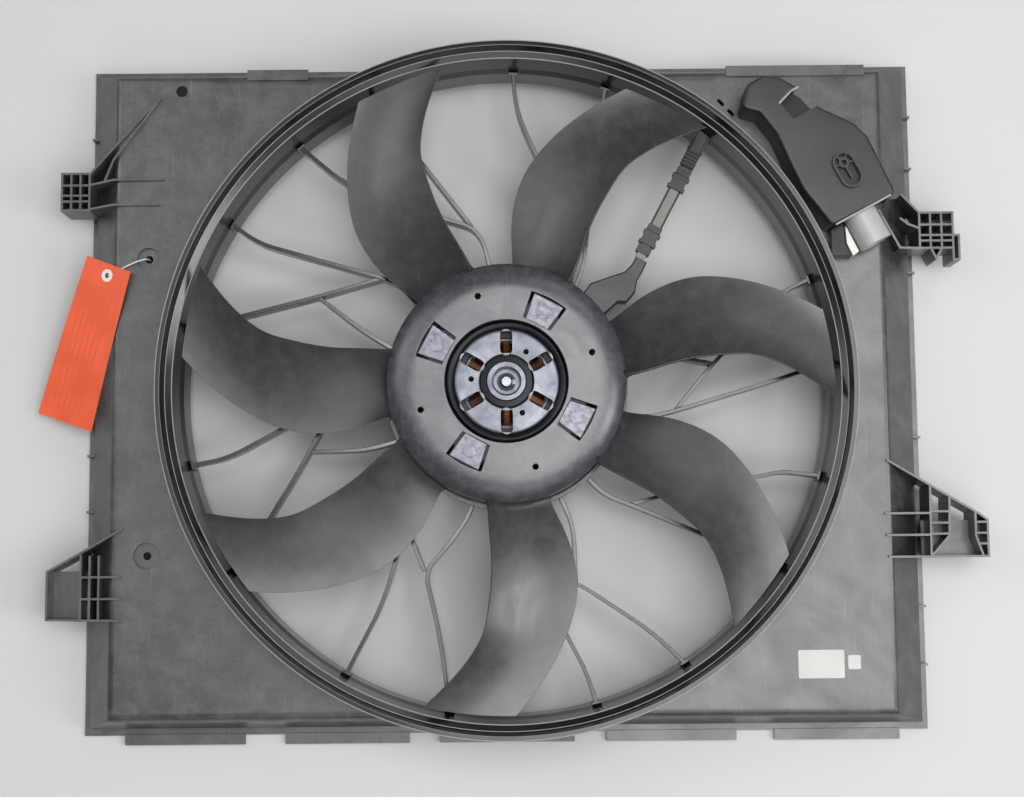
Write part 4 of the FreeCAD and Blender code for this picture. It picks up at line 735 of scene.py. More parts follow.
def turning_recipe() -> NodeRecipe:
    """Tree that turns an outline of (radius, height) points round the fan axis.

    Returns:
        The recipe. Its input mesh holds the outline's points in order.
    """
    recipe = NodeRecipe("turned_about_axis", {"Steps": "NodeSocketInt"})
    tree = recipe.tree
    count = add_node(tree, "GeometryNodeAttributeDomainSize", {"component": "MESH"},
                     {"Geometry": recipe.socket("Geometry")}).outputs["Point Count"]
    grid = add_node(tree, "GeometryNodeMeshGrid", None, {
        "Size X": 1.0, "Size Y": 1.0, "Vertices X": reckon(tree, "ADD", recipe.socket("Steps"), 1.0),
        "Vertices Y": reckon(tree, "ADD", count, 1.0)})
    here = add_node(tree, "GeometryNodeInputPosition").outputs[0]
    place = add_node(tree, "ShaderNodeSeparateXYZ", None, {0: here})
    turn = reckon(tree, "MULTIPLY_ADD", place.outputs[0], math.tau, math.pi)
    row = reckon(tree, "ROUND", reckon(
        tree, "MULTIPLY_ADD", place.outputs[1], count, reckon(tree, "MULTIPLY", count, 0.5)))
    outline = add_node(tree, "GeometryNodeSampleIndex", {"data_type": "FLOAT_VECTOR", "domain": "POINT"}, {
        "Geometry": recipe.socket("Geometry"), "Value": here, "Index": reckon(tree, "MODULO", row, count)})
    part = add_node(tree, "ShaderNodeSeparateXYZ", None, {0: outline.outputs[0]})
    sides = [reckon(tree, "MULTIPLY", part.outputs[0], reckon(tree, wave, turn))
             for wave in ("COSINE", "SINE")]
    spot = add_node(tree, "ShaderNodeCombineXYZ", None, {0: sides[0], 1: sides[1], 2: part.outputs[2]})
    moved = add_node(tree, "GeometryNodeSetPosition", None, {
        "Geometry": grid.outputs["Mesh"], "Position": spot.outputs[0]})
    joined = add_node(tree, "GeometryNodeMergeByDistance", None, {
        "Geometry": moved.outputs[0], "Distance": 0.002 * MM})
    recipe.close(joined.outputs[0])
    return recipe


def ring_of_recipe() -> NodeRecipe:
    """Tree that repeats a piece evenly round the fan axis.

    Returns:
        The recipe.
    """
    recipe = NodeRecipe("repeated_about_axis", {"Count": "NodeSocketInt", "First Turn": "NodeSocketFloat"})
    tree = recipe.tree
    index = add_node(tree, "GeometryNodeInputIndex").outputs[0]
    part = reckon(tree, "DIVIDE", index, recipe.socket("Count"))
    turn = reckon(tree, "MULTIPLY_ADD", part, math.tau, recipe.socket("First Turn"))
    recipe.repeat(recipe.socket("Count"), turn=turn)
    return recipe


def uneven_ring_recipe(count: int) -> NodeRecipe:
    """Tree that repeats a piece round the fan axis at turns given one by one.

    Args:
        count: how many copies it makes.

    Returns:
        The recipe, with one input in radians for each copy.
    """
    labels = [f"Turn {number}" for number in range(1, count + 1)]
    recipe = NodeRecipe("spaced_unevenly", {label: "NodeSocketFloat" for label in labels})
    tree = recipe.tree
    choice = add_node(tree, "GeometryNodeIndexSwitch", {"data_type": "FLOAT"})
    for _ in range(count - 2):
        choice.index_switch_items.new()
    tree.links.new(add_node(tree, "GeometryNodeInputIndex").outputs[0], choice.inputs[0])
    for number, label in enumerate(labels, start=1):
        tree.links.new(recipe.socket(label), choice.inputs[number])
    recipe.repeat(count, turn=choice.outputs[0])
    return recipe


def stacked_recipe() -> NodeRecipe:
    """Tree that repeats a piece in a straight row.

    Returns:
        The recipe.
    """
    recipe = NodeRecipe("stacked_in_line", {"Count": "NodeSocketInt", "Pitch": "NodeSocketVector"})
    recipe.repeat(recipe.socket("Count"), recipe.socket("Pitch"))
    return recipe


def turned_piece(name: str, outline_mm: list[Point], steps: int, material: bpy.types.Material,
                 recipe: NodeRecipe) -> bpy.types.Object:
    """Turn a closed outline into a ring.

    Args:
        name: the piece's name.
        outline_mm: (radius, height) points in millimetres.
        steps: faces round the axis.
        material: its finish.
        recipe: the turning tree.

    Returns:
        The object.
    """
    points = [(radius * MM, 0.0, height * MM) for radius, height in outline_mm]
    mesh = bpy.data.meshes.new(name)
    mesh.from_pydata(points, [], [])
    made = linked(name, mesh)
    recipe.apply(made, Steps=steps, Material=material)
    weights = made.modifiers.new("flat_faces_first", "WEIGHTED_NORMAL")
    weights.keep_sharp = True
    return made


# Sub-assemblies


@dataclass
class FanRing:
    """The ring that the fan runs in: bore, ledge, lip and the gussets under it."""

    bore: float = 270.5
    wall: float = 2.6
    foot: float = 20.0
    throat: float = 48.0
    ledge: float = 79.0
    ledge_width: float = 5.0
    ledge_rise: float = 3.0
    flare: float = 4.0
    flare_rise: float = 8.0
    rim: float = 90.0
    lip: float = 286.5
    lip_width: float = 4.5
    lip_fall: float = 5.0
    rounding: float = 0.9
    bead_radius: float = 0.5
    bead_inset: float = 0.35
    gussets: int = 12
    gusset_half: float = 0.9
    steps: int = 288

    def outline(self) -> list[Point]:
        """The section of the ring as (radius, height) points."""
        ledge_in = self.bore + self.flare
        ledge_out = ledge_in + self.ledge_width
        bend = (self.bore + self.flare / 2, self.throat + self.flare_rise)
        shelf = self.ledge + self.ledge_rise
        return [
            (self.bore, self.foot), (self.bore + self.wall, self.foot),
            (self.bore + self.wall, self.throat), (bend[0] + self.wall, bend[1]),
            (ledge_in + self.wall, self.ledge - self.wall), (ledge_out + self.wall, shelf - self.wall),
            (self.lip - self.wall, self.rim - self.lip_fall), (self.lip, self.rim - self.lip_fall),
            (self.lip, self.rim), (self.lip - self.lip_width, self.rim), (ledge_out, shelf),
            (ledge_in, self.ledge), bend, (self.bore, self.throat)]

    def beads(self) -> dict[str, Point]:
        """Where the pale beads that paint highlights along the ring's edges run, as (radius, height) by
        name.
        """
        ledge_in = self.bore + self.flare
        return {"highlight_bead_outer": (self.lip - self.bead_inset, self.rim - self.bead_inset),
                "highlight_bead_ledge": (ledge_in + self.ledge_width + 0.1, self.ledge + self.ledge_rise),
                "highlight_bead_bore": (ledge_in, self.ledge)}

    def build(self, shop: Shop, turning: NodeRecipe, repeating: NodeRecipe) -> None:
        """Make the ring, its pale beads of painted highlight and its gussets."""
        ring = turned_piece("fan_ring", rounded(self.outline(), self.rounding, 3), self.steps,
                            shop["ring_plastic"], turning)
        settle(ring, Body.SHROUD, "shroud_plastic", "fan_barrel")
        # Each pale bead is a painted highlight along an edge of the ring.
        for name, spot in self.beads().items():
            bead = turned_piece(name, circle_outline(spot, self.bead_radius, 10), self.steps,
                                shop["edge_plastic"], turning)
            settle(bead, Body.SHROUD, "shroud_plastic")
        under = self.rim - self.lip_fall
        side = [(self.bore + 3.9, self.throat + 10.0), (self.lip - 1.3, under - 3.0),
                (self.lip - 1.3, under + 0.5), (self.bore + 9.0, self.ledge + 2.4),
                (self.bore + 4.6, self.ledge - 3.0)]
        wedge = SolidSet()
        wedge.layers(*[[(radius, offset, height) for radius, height in side]
                       for offset in (-self.gusset_half, self.gusset_half)])
        gusset = wedge.piece("lip_gussets", shop["shroud_plastic"])
        repeating.apply(gusset, Count=self.gussets, First_Turn=0.0, Material=shop["shroud_plastic"])
        settle(gusset, Body.SHROUD, "shroud_plastic")


@dataclass
class FanWheel:
    """The seven-blade fan: blades set unevenly round a rounded hub."""

    hub_radius: float = 96.9
    tip_radius: float = 267.3
    root_thick: float = 4.2
    tip_thick: float = 2.4
    camber: float = 0.055
    root_flare: float = 3.4
    chord_points: int = 26
    span_points: int = 44
    hub_top: float = 107.0
    hole_turn: float = 17.9
    hole_reach: float = 71.5
    hole_radius: float = 2.6
    hole_depth: float = 1.6
    turns: tuple[float, ...] = (108.5, 59.2, 4.5, -40.1, -97.3, -150.0, 166.1)
    # Edges as (share of the span, degrees from the middle of the tip, height).
    leading: tuple = ((0.0, 27.2, 60.0), (0.21, 28.4, 63.0), (0.42, 26.2, 66.5), (0.61, 21.2, 70.0),
                      (1.0, 7.9, 78.6))
    trailing: tuple = ((0.0, -1.6, 97.5), (0.23, 2.0, 97.5), (0.43, 2.4, 97.0), (0.63, 1.0, 96.0),
                       (1.0, -7.9, 94.0))

    @staticmethod
    def along(table: tuple, share: float) -> tuple[float, float]:
        """Angle and height of an edge at a share of the span.

        Args:
            table: the edge's rows.
            share: 0 at the hub and 1 at the tip.

        Returns:
            The angle in degrees and the height in millimetres.
        """
        last = len(table) - 2
        index = next((number for number in range(last + 1) if share <= table[number + 1][0]), last)
        low, high = table[index], table[index + 1]
        before, after = table[max(index - 1, 0)], table[min(index + 2, last + 1)]
        span = high[0] - low[0]
        part = (share - low[0]) / span
        results = []
        for axis in (1, 2):
            leave = (high[axis] - before[axis]) / (high[0] - before[0]) * span
            arrive = (after[axis] - low[axis]) / (after[0] - low[0]) * span
            results.append(
                (2 * part ** 3 - 3 * part ** 2 + 1) * low[axis] + (part ** 3 - 2 * part ** 2 + part) * leave
                + (3 * part ** 2 - 2 * part ** 3) * high[axis] + (part ** 3 - part ** 2) * arrive)
        return results[0], results[1]

    def spot(self, share: float, chord: float, side: float, swell: float) -> Vector:
        """Point on the blade.

        Args:
            share: place along the span.
            chord: 0 at the leading edge and 1 at the trailing edge.
            side: from -1 on the under side to 1 on the upper side.
            swell: millimetres that are added to each side.

        Returns:
            The point in millimetres.
        """
        lead_angle, lead_z = self.along(self.leading, share)
        trail_angle, trail_z = self.along(self.trailing, share)
        middle = math.radians((lead_angle + trail_angle) / 2.0)
        half = math.radians((lead_angle - trail_angle) / 2.0)
        reach = self.hub_radius + share * (self.tip_radius - self.hub_radius)
        out = Vector((math.cos(middle), math.sin(middle), 0.0))
        ahead = Vector((-out.y, out.x, 0.0))
        lead = out * reach + ahead * (reach * math.tan(half)) + Vector((0, 0, lead_z))
        trail = out * reach - ahead * (reach * math.tan(half)) + Vector((0, 0, trail_z))
        line = trail - lead
        normal = out.cross(line).normalized()
        if normal.z < 0:
            normal = -normal
        held = min(max(chord, 0.0), 1.0)
        thick = self.root_thick + (self.tip_thick - self.root_thick) * share
        hollow = -self.camber * line.length * 4.0 * held * (1.0 - held)
        body = thick * (0.28 + 0.72 * math.sin(math.pi * (0.12 + 0.76 * held))) / 2.0 + swell
        return lead + line * chord + normal * (hollow + body * side)

    def share_at(self, chord: float, radius: float) -> float:
        """Share of the span at which a chordwise line crosses a radius."""
        low, high = -0.12, 1.1
        for _ in range(30):
            middle = (low + high) / 2.0
            if self.spot(middle, chord, 0.0, 0.0).xy.length < radius:
                low = middle
            else:
                high = middle
        return (low + high) / 2.0

    def loop(self) -> list[tuple[float, float]]:
        """Chord and side of each point round the blade's section."""
        count = self.chord_points
        shares = [(1.0 - math.cos(math.pi * index / (count - 1))) / 2.0 for index in range(count)]
        upper = [(share, 1.0) for share in shares]
        lower = [(share, -1.0) for share in reversed(shares)]
        return upper + [(1.0035, 0.75), (1.005, 0.0), (1.0035, -0.75)] + lower \
            + [(-0.0035, -0.75), (-0.005, 0.0), (-0.0035, 0.75)]

    def blade(self, shop: Shop) -> bpy.types.Object:
        """Make one blade with its tip turned to 0 degrees."""
        points, loop = [], self.loop()
        for chord, side in loop:
            start = self.share_at(chord, self.hub_radius - 0.6)
            end = self.share_at(chord, self.tip_radius)
            for step in range(self.span_points):
                part = (step / (self.span_points - 1)) ** 1.15
                swell = self.root_flare * math.exp(-part / 0.012)
                points.append(self.spot(start + (end - start) * part, chord, side, swell) * MM)
        span, faces = self.span_points, []
        for index in range(len(loop)):
            other = (index + 1) % len(loop)
            for step in range(span - 1):
                faces.append([index * span + step, other * span + step, other * span + step + 1,
                              index * span + step + 1])
        half = self.chord_points
        for level in (0, span - 1):
            for index in range(half - 1):
                mirror = 2 * half + 2 - index
                faces.append([index * span + level, (index + 1) * span + level,
                              (mirror - 1) * span + level, mirror * span + level])
            faces.append([(half - 1 + offset) * span + level for offset in range(5)])
            faces.append([(2 * half + 2 + offset) % len(loop) * span + level for offset in range(5)])
        return new_piece("fan_blades_dressed", points, faces, shop["fan_plastic"])

    def build(self, shop: Shop) -> None:
        """Make the blades and the hub."""
        blades = self.blade(shop)
        uneven = uneven_ring_recipe(len(self.turns))
        values = {f"Turn_{number}": math.radians(turn) for number, turn in enumerate(self.turns, start=1)}
        uneven.apply(blades, Material=shop["fan_plastic"], **values)
        settle(blades, Body.ROTOR, "fan_plastic", "fan_blades")
        hub = merged_copy("fan_hub", "fan_hub_dressed", shop["hub_plastic"])
        holes = SolidSet()
        for quarter in range(4):
            spot = polar(self.hole_reach, self.hole_turn + 90.0 * quarter)
            holes.prism(circle_outline(spot, self.hole_radius), self.hub_top - self.hole_depth,
                        self.hub_top + 2.0)
        carve(hub, holes.piece("hole_cutter", shop["hub_plastic"]))
        settle(bevelled(hub, 0.5), Body.ROTOR, "fan_plastic", "fan_hub")


@dataclass
class Motor:
    """Outer-rotor motor in the middle of the hub."""

    nodes: dict[str, str] = field(default_factory=lambda: {
        "magnets": "magnet_ferrite", "shaft": "bearing_steel", "shaft_clip": "black_steel"})
    still: dict[str, str] = field(default_factory=lambda: {
        "motor_carrier": "motor_aluminium", "electronics_cover": "motor_aluminium",
        "circuit_board": "board_green", "stator_core": "lamination_steel",
        "lower_bearing": "bearing_steel", "upper_bearing": "bearing_steel", "motor_screws": "zinc_steel"})
    vents: int = 6
    vent_turn: float = 30.0
    vent_middle: float = 31.8
    vent_half: float = 5.85
    vent_radius: float = 4.95
    pad_turn: float = 61.9
    groove: tuple[Point, Point] = ((50.0, 10.9), (76.0, 15.0))
    groove_radius: float = 1.7
    # Levels that the cutters of the vents and of the grooves run between.
    vent_levels: Point = (101.9, 107.5)
    groove_levels: Point = (99.0, 110.0)
    wire: float = 0.62
    wire_sides: int = 6
    wire_pitch: float = 1.45
    loop_width: float = 8.4
    loop_height: float = 27.6
    loop_middle: float = 76.0
    loop_start: float = 21.0
    loop_corner: float = 2.6
    loops: int = 10
    teeth: int = 12
    # Sections as (radius, height), with the radius of their rounding and its steps.
    turned: tuple = (
        ("rotor_collar",
         ((43.3, 102.5), (49.6, 102.5), (49.6, 104.2), (46.6, 105.9), (43.3, 104.8)), 1.6, 5),
        ("rotor_dish", ((15.9, 104.0), (20.8, 104.0), (20.8, 104.7), (16.2, 105.3)), 0.3, 3))

    def windings(self, shop: Shop, stacking: NodeRecipe, repeating: NodeRecipe) -> None:
        """Wind the copper coils: one loop of wire, stacked along a tooth and repeated.

        Args:
            shop: the finishes.
            stacking: tree that stacks the loop along the tooth.
            repeating: tree that repeats the coil for every tooth.
        """
        half, tall, sides = self.loop_width / 2.0, self.loop_height / 2.0, self.wire_sides
        path = rounded([(-half, -tall), (half, -tall), (half, tall), (-half, tall)], self.loop_corner)
        points, faces, count = [], [], len(path)
        for index, (across, height) in enumerate(path):
            ahead = Vector(path[(index + 1) % count]) - Vector(path[index - 1])
            out = Vector((ahead.y, -ahead.x)).normalized()
            for side in range(sides):
                turn = math.tau * side / sides
                spot = Vector((across, height)) + out * self.wire * math.cos(turn)
                points.append(Vector((self.loop_start + self.wire * math.sin(turn), spot.x,
                                      self.loop_middle + spot.y)) * MM)
        for index in range(count):
            here, there = index * sides, (index + 1) % count * sides
            for side in range(sides):
                other = (side + 1) % sides
                faces.append([here + side, there + side, there + other, here + other])
        coil = new_piece("copper_windings", points, faces, shop["copper"])
        stacking.apply(coil, Count=self.loops, Pitch=(self.wire_pitch * MM, 0.0, 0.0),
                       Material=shop["copper"])
        repeating.apply(coil, Count=self.teeth, First_Turn=0.0, Material=shop["copper"])
        settle(coil, Body.SHROUD, "copper", "stator_coils")

    def cap(self, shop: Shop) -> None:
        """Make the rotor's cap with its vents cut to the photographed length."""
        cap = merged_copy("rotor_cap", "rotor_cap_dressed", shop["rotor_steel"])
        vents = SolidSet()
        for number in range(self.vents):
            turn = self.vent_turn + 360.0 / self.vents * number
            vents.prism(obround(polar(self.vent_middle, turn), self.vent_half, self.vent_radius, turn),
                        *self.vent_levels)
        carve(cap, vents.piece("vent_cutter", shop["rotor_steel"]))
        settle(bevelled(cap, 0.35), Body.ROTOR, "rotor_steel", "rotor_cap")

    def pads(self, shop: Shop) -> None:
        """Make the window pads with a dark groove along both sides of each."""
        pads = merged_copy("window_pads", "window_pads_dressed", shop["pad_steel"])
        grooves = SolidSet()
        for quarter in range(4):
            turn = Matrix.Rotation(math.radians(self.pad_turn + 90.0 * quarter), 2)
            for side in (-1.0, 1.0):
                ends = [turn @ Vector((reach, side * half)) for reach, half in self.groove]
                grooves.prism(bar(*ends, self.groove_radius), *self.groove_levels)
        carve(pads, grooves.piece("groove_cutter", shop["pad_steel"]))
        settle(bevelled(pads, 0.25), Body.ROTOR, "pad_steel", "window_pads")

    def build(self, shop: Shop, turning: NodeRecipe, stacking: NodeRecipe, repeating: NodeRecipe) -> None:
        """Dress the motor's nodes and make its visible rotor, collar and windings."""
        for node, slot in {**self.nodes, **self.still}.items():
            dress_node(node, shop[slot])
        self.cap(shop)
        self.windings(shop, stacking, repeating)
        plate = bevelled(merged_copy("carrier_plate", "carrier_plate_dressed", shop["black_steel"]), 0.3)
        settle(plate, Body.ROTOR, "black_steel", "carrier_plate")
        self.pads(shop)
        for name, section, radius, steps in self.turned:
            outline = rounded(list(section), radius, steps)
            made = turned_piece(name, outline, 128, shop["black_steel"], turning)
            settle(made, Body.ROTOR, "black_steel")


@dataclass
class Shroud:
    """Panel, struts, mount ring and brackets of the shroud moulding."""

    widths: dict[str, float] = field(default_factory=lambda: {
        "shroud_panel": 0.8, "motor_ring": 0.5, "stator_struts": 0.6, "upper_left_bracket": 0.35,
        "lower_left_bracket": 0.35, "lower_right_bracket": 0.35, "upper_right_bracket": 0.35})
    panel_top: float = 44.0
    # Two corners of each label in plan.
    labels: tuple = (("label_large", (238.9, -242.3), (277.0, -219.1)),
                     ("label_small", (280.1, -235.1), (290.4, -223.6)))

    def build(self, shop: Shop) -> None:
        """Make the moulding's pieces and the two blank labels."""
        for node, width in self.widths.items():
            finish = shop["ring_plastic" if node == "stator_struts" else "shroud_plastic"]
            piece = bevelled(merged_copy(node, f"{node}_dressed", finish), width)
            settle(piece, Body.SHROUD, "shroud_plastic", node)
        for name, low, high in self.labels:
            outline = rounded([low, (high[0], low[1]), high, (low[0], high[1])], 1.5)
            label = SolidSet()
            label.prism(outline, self.panel_top + 0.02, self.panel_top + 0.22)
            settle(label.piece(name, shop["label_paper"]), Body.SHROUD, "white_plastic")


@dataclass
class Harness:
    """Cover, connector and the flat lead with its clips."""

    widths: tuple = (("harness_cover", "cover_plastic", 2.0), ("connector_body", "connector_plastic", 0.5),
                     ("connector_insert", "dark_plastic", 0.3), ("connector_lock", "white_plastic", 0.4),
                     ("connector_holder", "dark_plastic", 0.5), ("lead_channel", "dark_plastic", 0.2),
                     ("motor_lead", "lead_jacket", 0.5), ("lead_clips", "dark_plastic", 0.4),
                     ("rim_connector", "dark_plastic", 0.4), ("motor_lead_cover", "cover_plastic", 0.8))
    window: tuple[Point, ...] = (
        (230.0, 235.0), (239.5, 245.0), (252.5, 253.5), (268.5, 236.5), (241.6, 220.6))
    window_end: Point = (245.5, 248.4)
    boss: Point = (284.7, 177.2)
    boss_turn: float = -62.0
    boss_half: float = 6.6
    mouth: tuple[Point, Point] = ((274.6, 131.7), (319.8, 155.8))
    cover_top: float = 76.0
    window_depth: float = 22.0
    # How far the cutters reach above the cover.
    clear: float = 6.0
    room_radius: float = 7.3
    room_depth: float = 3.5
    # The near-black sheet in the boss's pocket paints its shade: its radius and its levels under the cover's
    # top.
    shade_sheet_radius: float = 8.2
    shade_sheet_levels: Point = (-2.5, -1.8)
    eye_radius: float = 4.3
    eye_hole: float = 2.3
    rib_turns: tuple[float, ...] = (10.0, 75.0, 140.0, 205.0)
    rib_reach: float = 7.6
    rib_radius: float = 0.7
    spine_radius: float = 0.8
    lip_radius: float = 0.9

    def cover(self, shop: Shop, width: float) -> None:
        """Make the cover with its window and pocket, whose cut walls carry painted shade in near-black, and
        the pale lips at its openings, which are painted highlights.

        Args:
            shop: the finishes.
            width: rounding of the cover's edges in millimetres.
        """
        top = self.cover_top
        body = merged_copy("harness_cover", "harness_cover_dressed", shop["cover_plastic"])
        rooms = SolidSet()
        rooms.prism(rounded(list(self.window), 4.0, 5), top - self.window_depth, top + self.clear)
        rooms.prism(obround(self.boss, self.boss_half, self.room_radius, self.boss_turn),
                    top - self.room_depth, top + self.clear)
        # The cutter's near-black finish passes to the cut walls of the window and the pocket as painted
        # shade.
        carve(body, rooms.piece("cover_cutter_painted_shade", shop["dark_plastic"]))
        settle(bevelled(body, width, 3), Body.SHROUD, "cover_plastic", "harness_cover")
        self.boss_inside(shop)
        # Pale lips along the window and the mouth: painted highlights of their rounded edges.
        lips = SolidSet()
        for start, end in (self.window[:2], (self.window[1], self.window_end), self.mouth):
            lips.prism(bar(start, end, self.lip_radius), top - 2.5, top + 0.5)
        settle(bevelled(lips.piece("cover_lips_painted_highlight", shop["edge_plastic"]), 0.4), Body.SHROUD, "cover_plastic")

    def boss_inside(self, shop: Shop) -> None:
        """Make the eye and ribs in the cover's boss, and a near-black floor under them that paints the
        pocket's shade.
        """
        top = self.cover_top
        base, clear = top - 4.0, top + self.clear
        along = Vector(polar(self.boss_half, self.boss_turn))
        eye, foot = Vector(self.boss) - along, Vector(self.boss) + along
        ribs = SolidSet()
        ribs.prism(circle_outline(eye, self.eye_radius), base, top + 2.6)
        for turn in self.rib_turns:
            tip = eye + Vector(polar(self.rib_reach, turn))
            ribs.prism(bar(eye, tip, self.rib_radius), base, top + 1.9)
        ribs.prism(bar(eye + along * 0.7, foot, self.spine_radius), base, top + 1.9)
        piece = ribs.piece("cover_boss_ribs", shop["cover_plastic"])
        hole = SolidSet()
        hole.prism(circle_outline(eye, self.eye_hole), top - 2.0, clear)
        # The cutter's near-black finish passes to the eye hole's wall as painted shade.
        carve(piece, hole.piece("hole_cutter", shop["dark_plastic"]), crossing=True)
        settle(bevelled(piece, 0.3), Body.SHROUD, "cover_plastic")
        # A near-black sheet in the pocket: painted shade.
        floor = SolidSet()
        floor.prism(obround(self.boss, self.boss_half, self.shade_sheet_radius, self.boss_turn),
                    *[top + level for level in self.shade_sheet_levels])
        settle(floor.piece("cover_boss_painted_shade", shop["dark_plastic"]), Body.SHROUD, "dark_plastic")

    def build(self, shop: Shop) -> None:
        """Make the harness pieces."""
        for node, slot, width in self.widths:
            if node == "harness_cover":
                self.cover(shop, width)
                continue
            piece = bevelled(merged_copy(node, f"{node}_dressed", shop[slot]), width)
            settle(piece, Body.SHROUD, slot, node)


@dataclass
class HangTag:
    """Card, eyelet and the string that holds it."""

    route: tuple[Point3, ...] = (
        (-302.7, 113.6, 37.0), (-302.9, 113.5, 46.5), (-312.0, 110.5, 49.0), (-325.0, 105.0, 46.0),
        (-334.5, 101.0, 41.8), (-337.2, 99.9, 42.2))
    diameter: float = 1.1
    head: Point3 = (-336.05, 109.8, 44.0)
    foot: Point3 = (-377.4, -22.75, 21.05)
    across: Point3 = (0.925, -0.350, 0.343)
    bow: float = 0.9
    strips: int = 14
    uv_width: float = 56.0

    def card(self, shop: Shop) -> bpy.types.Object:
        """Make the card: the CAD outline cut in strips, bowed a little, with its own UV map."""
        card = merged_copy("hang_tag", "hang_tag_dressed", shop["tag_card"])
        head, run = Vector(self.head) * MM, (Vector(self.foot) - Vector(self.head)) * MM
        along, across = run.normalized(), Vector(self.across).normalized()
        up = across.cross(along).normalized()
        if up.z < 0.0:
            up.negate()
        with edited(card.data) as work:
            for strip in range(1, self.strips):
                everything = work.verts[:] + work.edges[:] + work.faces[:]
                bmesh.ops.bisect_plane(work, geom=everything, plane_co=head + run * strip / self.strips,
                                       plane_no=along)
            layer = work.loops.layers.uv.new("card")
            for loop in (loop for face in work.faces for loop in face.loops):
                reach = loop.vert.co - head
                loop[layer].uv = (reach.dot(along) / run.length,
                                  0.5 + reach.dot(across) / (self.uv_width * MM))
            for vertex in work.verts:
                share = min(max((vertex.co - head).dot(along) / run.length, 0.0), 1.0)
                vertex.co += up * self.bow * MM * math.sin(math.pi * share)
        smooth_by_angle(card.data)
        return settle(card, Body.SHROUD, "tag_card", "hang_tag")

    def string(self, shop: Shop) -> None:
        """Args:
            shop: the finishes.
        """
        curve = bpy.data.curves.new("tag_string_cord", "CURVE")
        curve.dimensions = "3D"
        curve.bevel_depth = self.diameter / 2.0 * MM
        curve.bevel_resolution = 3
        curve.use_fill_caps = True
        spline = curve.splines.new("NURBS")
        spline.points.add(len(self.route) - 1)
        for point, place in zip(spline.points, self.route):
            point.co = (*[part * MM for part in place], 1.0)
        spline.order_u = 3
        spline.use_endpoint_u = True
        spline.resolution_u = 10
        curve.materials.append(shop["string_white"])
        made = linked("tag_string_cord", curve)
        settle(made, Body.SHROUD, "string_white", "tag_string")

    def build(self, shop: Shop) -> None:
        """Make the card, the eyelet and the string."""
        eyelet = bevelled(merged_copy("tag_eyelet", "tag_eyelet_dressed", shop["white_plastic"]), 0.35)
        settle(eyelet, Body.SHROUD, "white_plastic", "tag_eyelet")
        self.card(shop)
        self.string(shop)


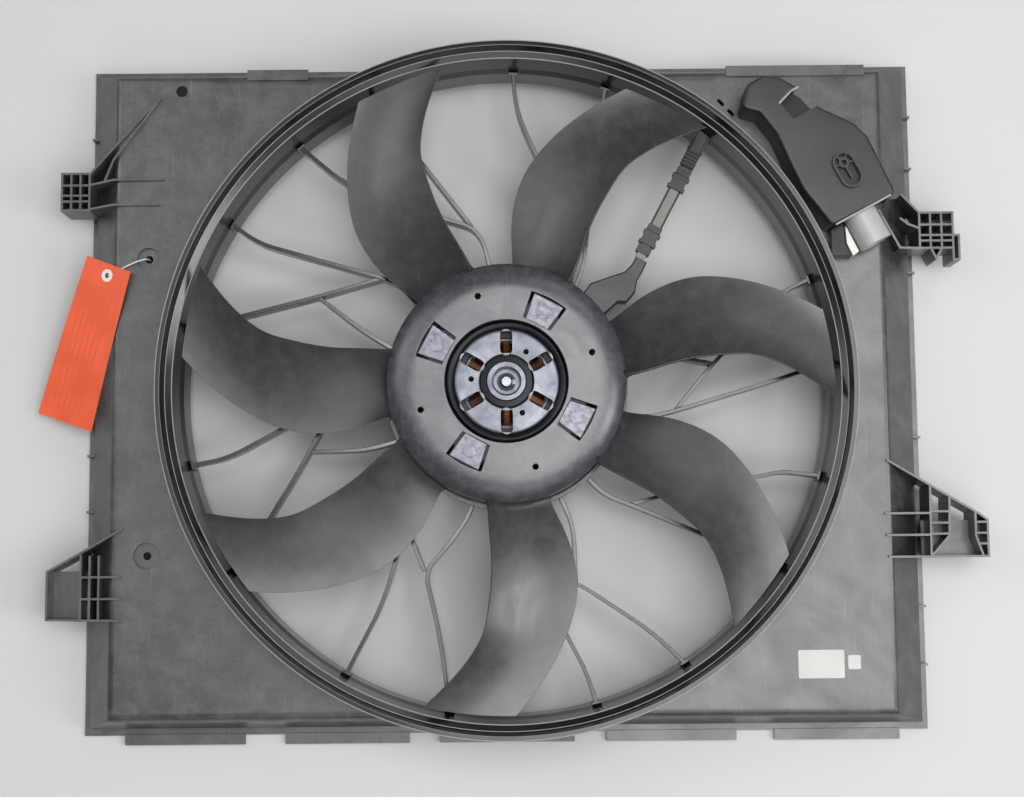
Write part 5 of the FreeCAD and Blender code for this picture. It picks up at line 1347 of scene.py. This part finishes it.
@dataclass
class Studio:
    """Pale floor, soft lights and the camera."""

    # The solved camera: its place in millimetres and its three directions.
    place: Point3 = (4.27, -141.6, 1381.15)
    right: Point3 = (0.99996, -0.00893, -0.00089)
    up: Point3 = (0.00898, 0.99501, 0.09941)
    forward: Point3 = (0.0, 0.09942, -0.99505)
    focal: float = 1600.0
    picture_width: float = 1024.0
    sensor: float = 36.0
    floor_reach: float = 2.6
    floor_level: float = -0.4 * MM
    # Each softbox: name, middle in metres, width and depth in metres, watts, and whether it faces straight
    # down rather than at the module.
    lamps: tuple = (
        ("softbox_above", (0.55, -0.20, 2.2), (1.5, 1.9), 36.0, True),
        ("softbox_hub", (0.02, 0.24, 2.15), (0.5, 0.45), 3.2, True),
        ("softbox_above_left", (-0.85, 0.1, 2.2), (0.8, 1.6), 4.8, True),
        ("softbox_left", (-2.0, 0.9, 1.9), (1.6, 1.6), 17.7, False),
        ("softbox_front", (0.3, -2.0, 1.9), (1.6, 1.2), 10.0, False),
        ("softbox_back", (1.2, 1.9, 1.9), (1.6, 1.2), 8.4, False),
        ("softbox_right", (2.1, -0.5, 1.8), (1.0, 1.2), 27.0, False))

    def camera(self) -> None:
        """Set the camera at the photograph's viewing angle."""
        data = bpy.data.cameras.new("camera")
        data.sensor_width = self.sensor
        data.lens = self.focal / self.picture_width * self.sensor
        data.clip_end = 50.0
        made = linked("camera", data)
        turn = Matrix((self.right, self.up, [-part for part in self.forward])).transposed()
        made.matrix_world = Matrix.Translation(Vector(self.place) * MM) @ turn.to_4x4()
        bpy.context.scene.camera = made

    def lamp(self, name: str, place: Point3, size: Point, power: float, down: bool) -> None:
        """Add a soft area lamp.

        Args:
            name: the lamp's name.
            place: its middle in metres.
            size: its width and depth in metres.
            power: its power in watts.
            down: whether it faces straight down, or else the module.
        """
        data = bpy.data.lights.new(name, "AREA")
        data.shape = "RECTANGLE"
        data.size, data.size_y = size
        data.energy = power
        made = linked(name, data)
        made.location = place
        made.rotation_mode = "QUATERNION"
        if not down:
            made.rotation_quaternion = (-Vector(place)).to_track_quat("-Z", "Y")

    def world(self) -> None:
        """Light the scene faintly from all round, and show the camera a pale background."""
        world = bpy.data.worlds.new("studio")
        world.use_nodes = True
        tree = world.node_tree
        tree.nodes.clear()
        around = add_node(tree, "ShaderNodeBackground", None, {"Color": linear("#e6e8ee"), "Strength": 0.18})
        seen = add_node(tree, "ShaderNodeBackground", None, {"Color": linear("#cfcfce"), "Strength": 1.0})
        shown = add_node(tree, "ShaderNodeMixShader", None, {
            0: add_node(tree, "ShaderNodeLightPath").outputs["Is Camera Ray"],
            1: around.outputs[0], 2: seen.outputs[0]})
        add_node(tree, "ShaderNodeOutputWorld", None, {"Surface": shown.outputs[0]})
        bpy.context.scene.world = world

    def build(self) -> None:
        """Make floor, world and lights."""
        material = bpy.data.materials.new("floor_pale")
        material.use_nodes = True
        surface = material.node_tree.nodes["Principled BSDF"]
        surface.inputs["Base Color"].default_value = linear("#c4c4c3")
        surface.inputs["Roughness"].default_value = 0.8
        surface.inputs["Specular IOR Level"].default_value = 0.2
        corners = [(x * self.floor_reach, y * self.floor_reach, self.floor_level)
                   for x, y in ((-1, -1), (1, -1), (1, 1), (-1, 1))]
        floor = new_piece("floor", corners, [[0, 1, 2, 3]], material, outward=False)
        self.world()
        for row in self.lamps:
            self.lamp(*row)
        bpy.context.scene.view_settings.view_transform = "Standard"


def main() -> None:
    """Build the studio and every sub-assembly in order."""
    logging.basicConfig(level=logging.INFO, format="%(message)s")
    shop = Shop()
    studio = Studio()
    studio.camera()
    HangTag().build(shop)
    studio.build()
    turning, repeating, stacking = turning_recipe(), ring_of_recipe(), stacked_recipe()
    Shroud().build(shop)
    FanRing().build(shop, turning, repeating)
    Harness().build(shop)
    Motor().build(shop, turning, stacking, repeating)
    FanWheel().build(shop)


if __name__ == "__main__":
    main()
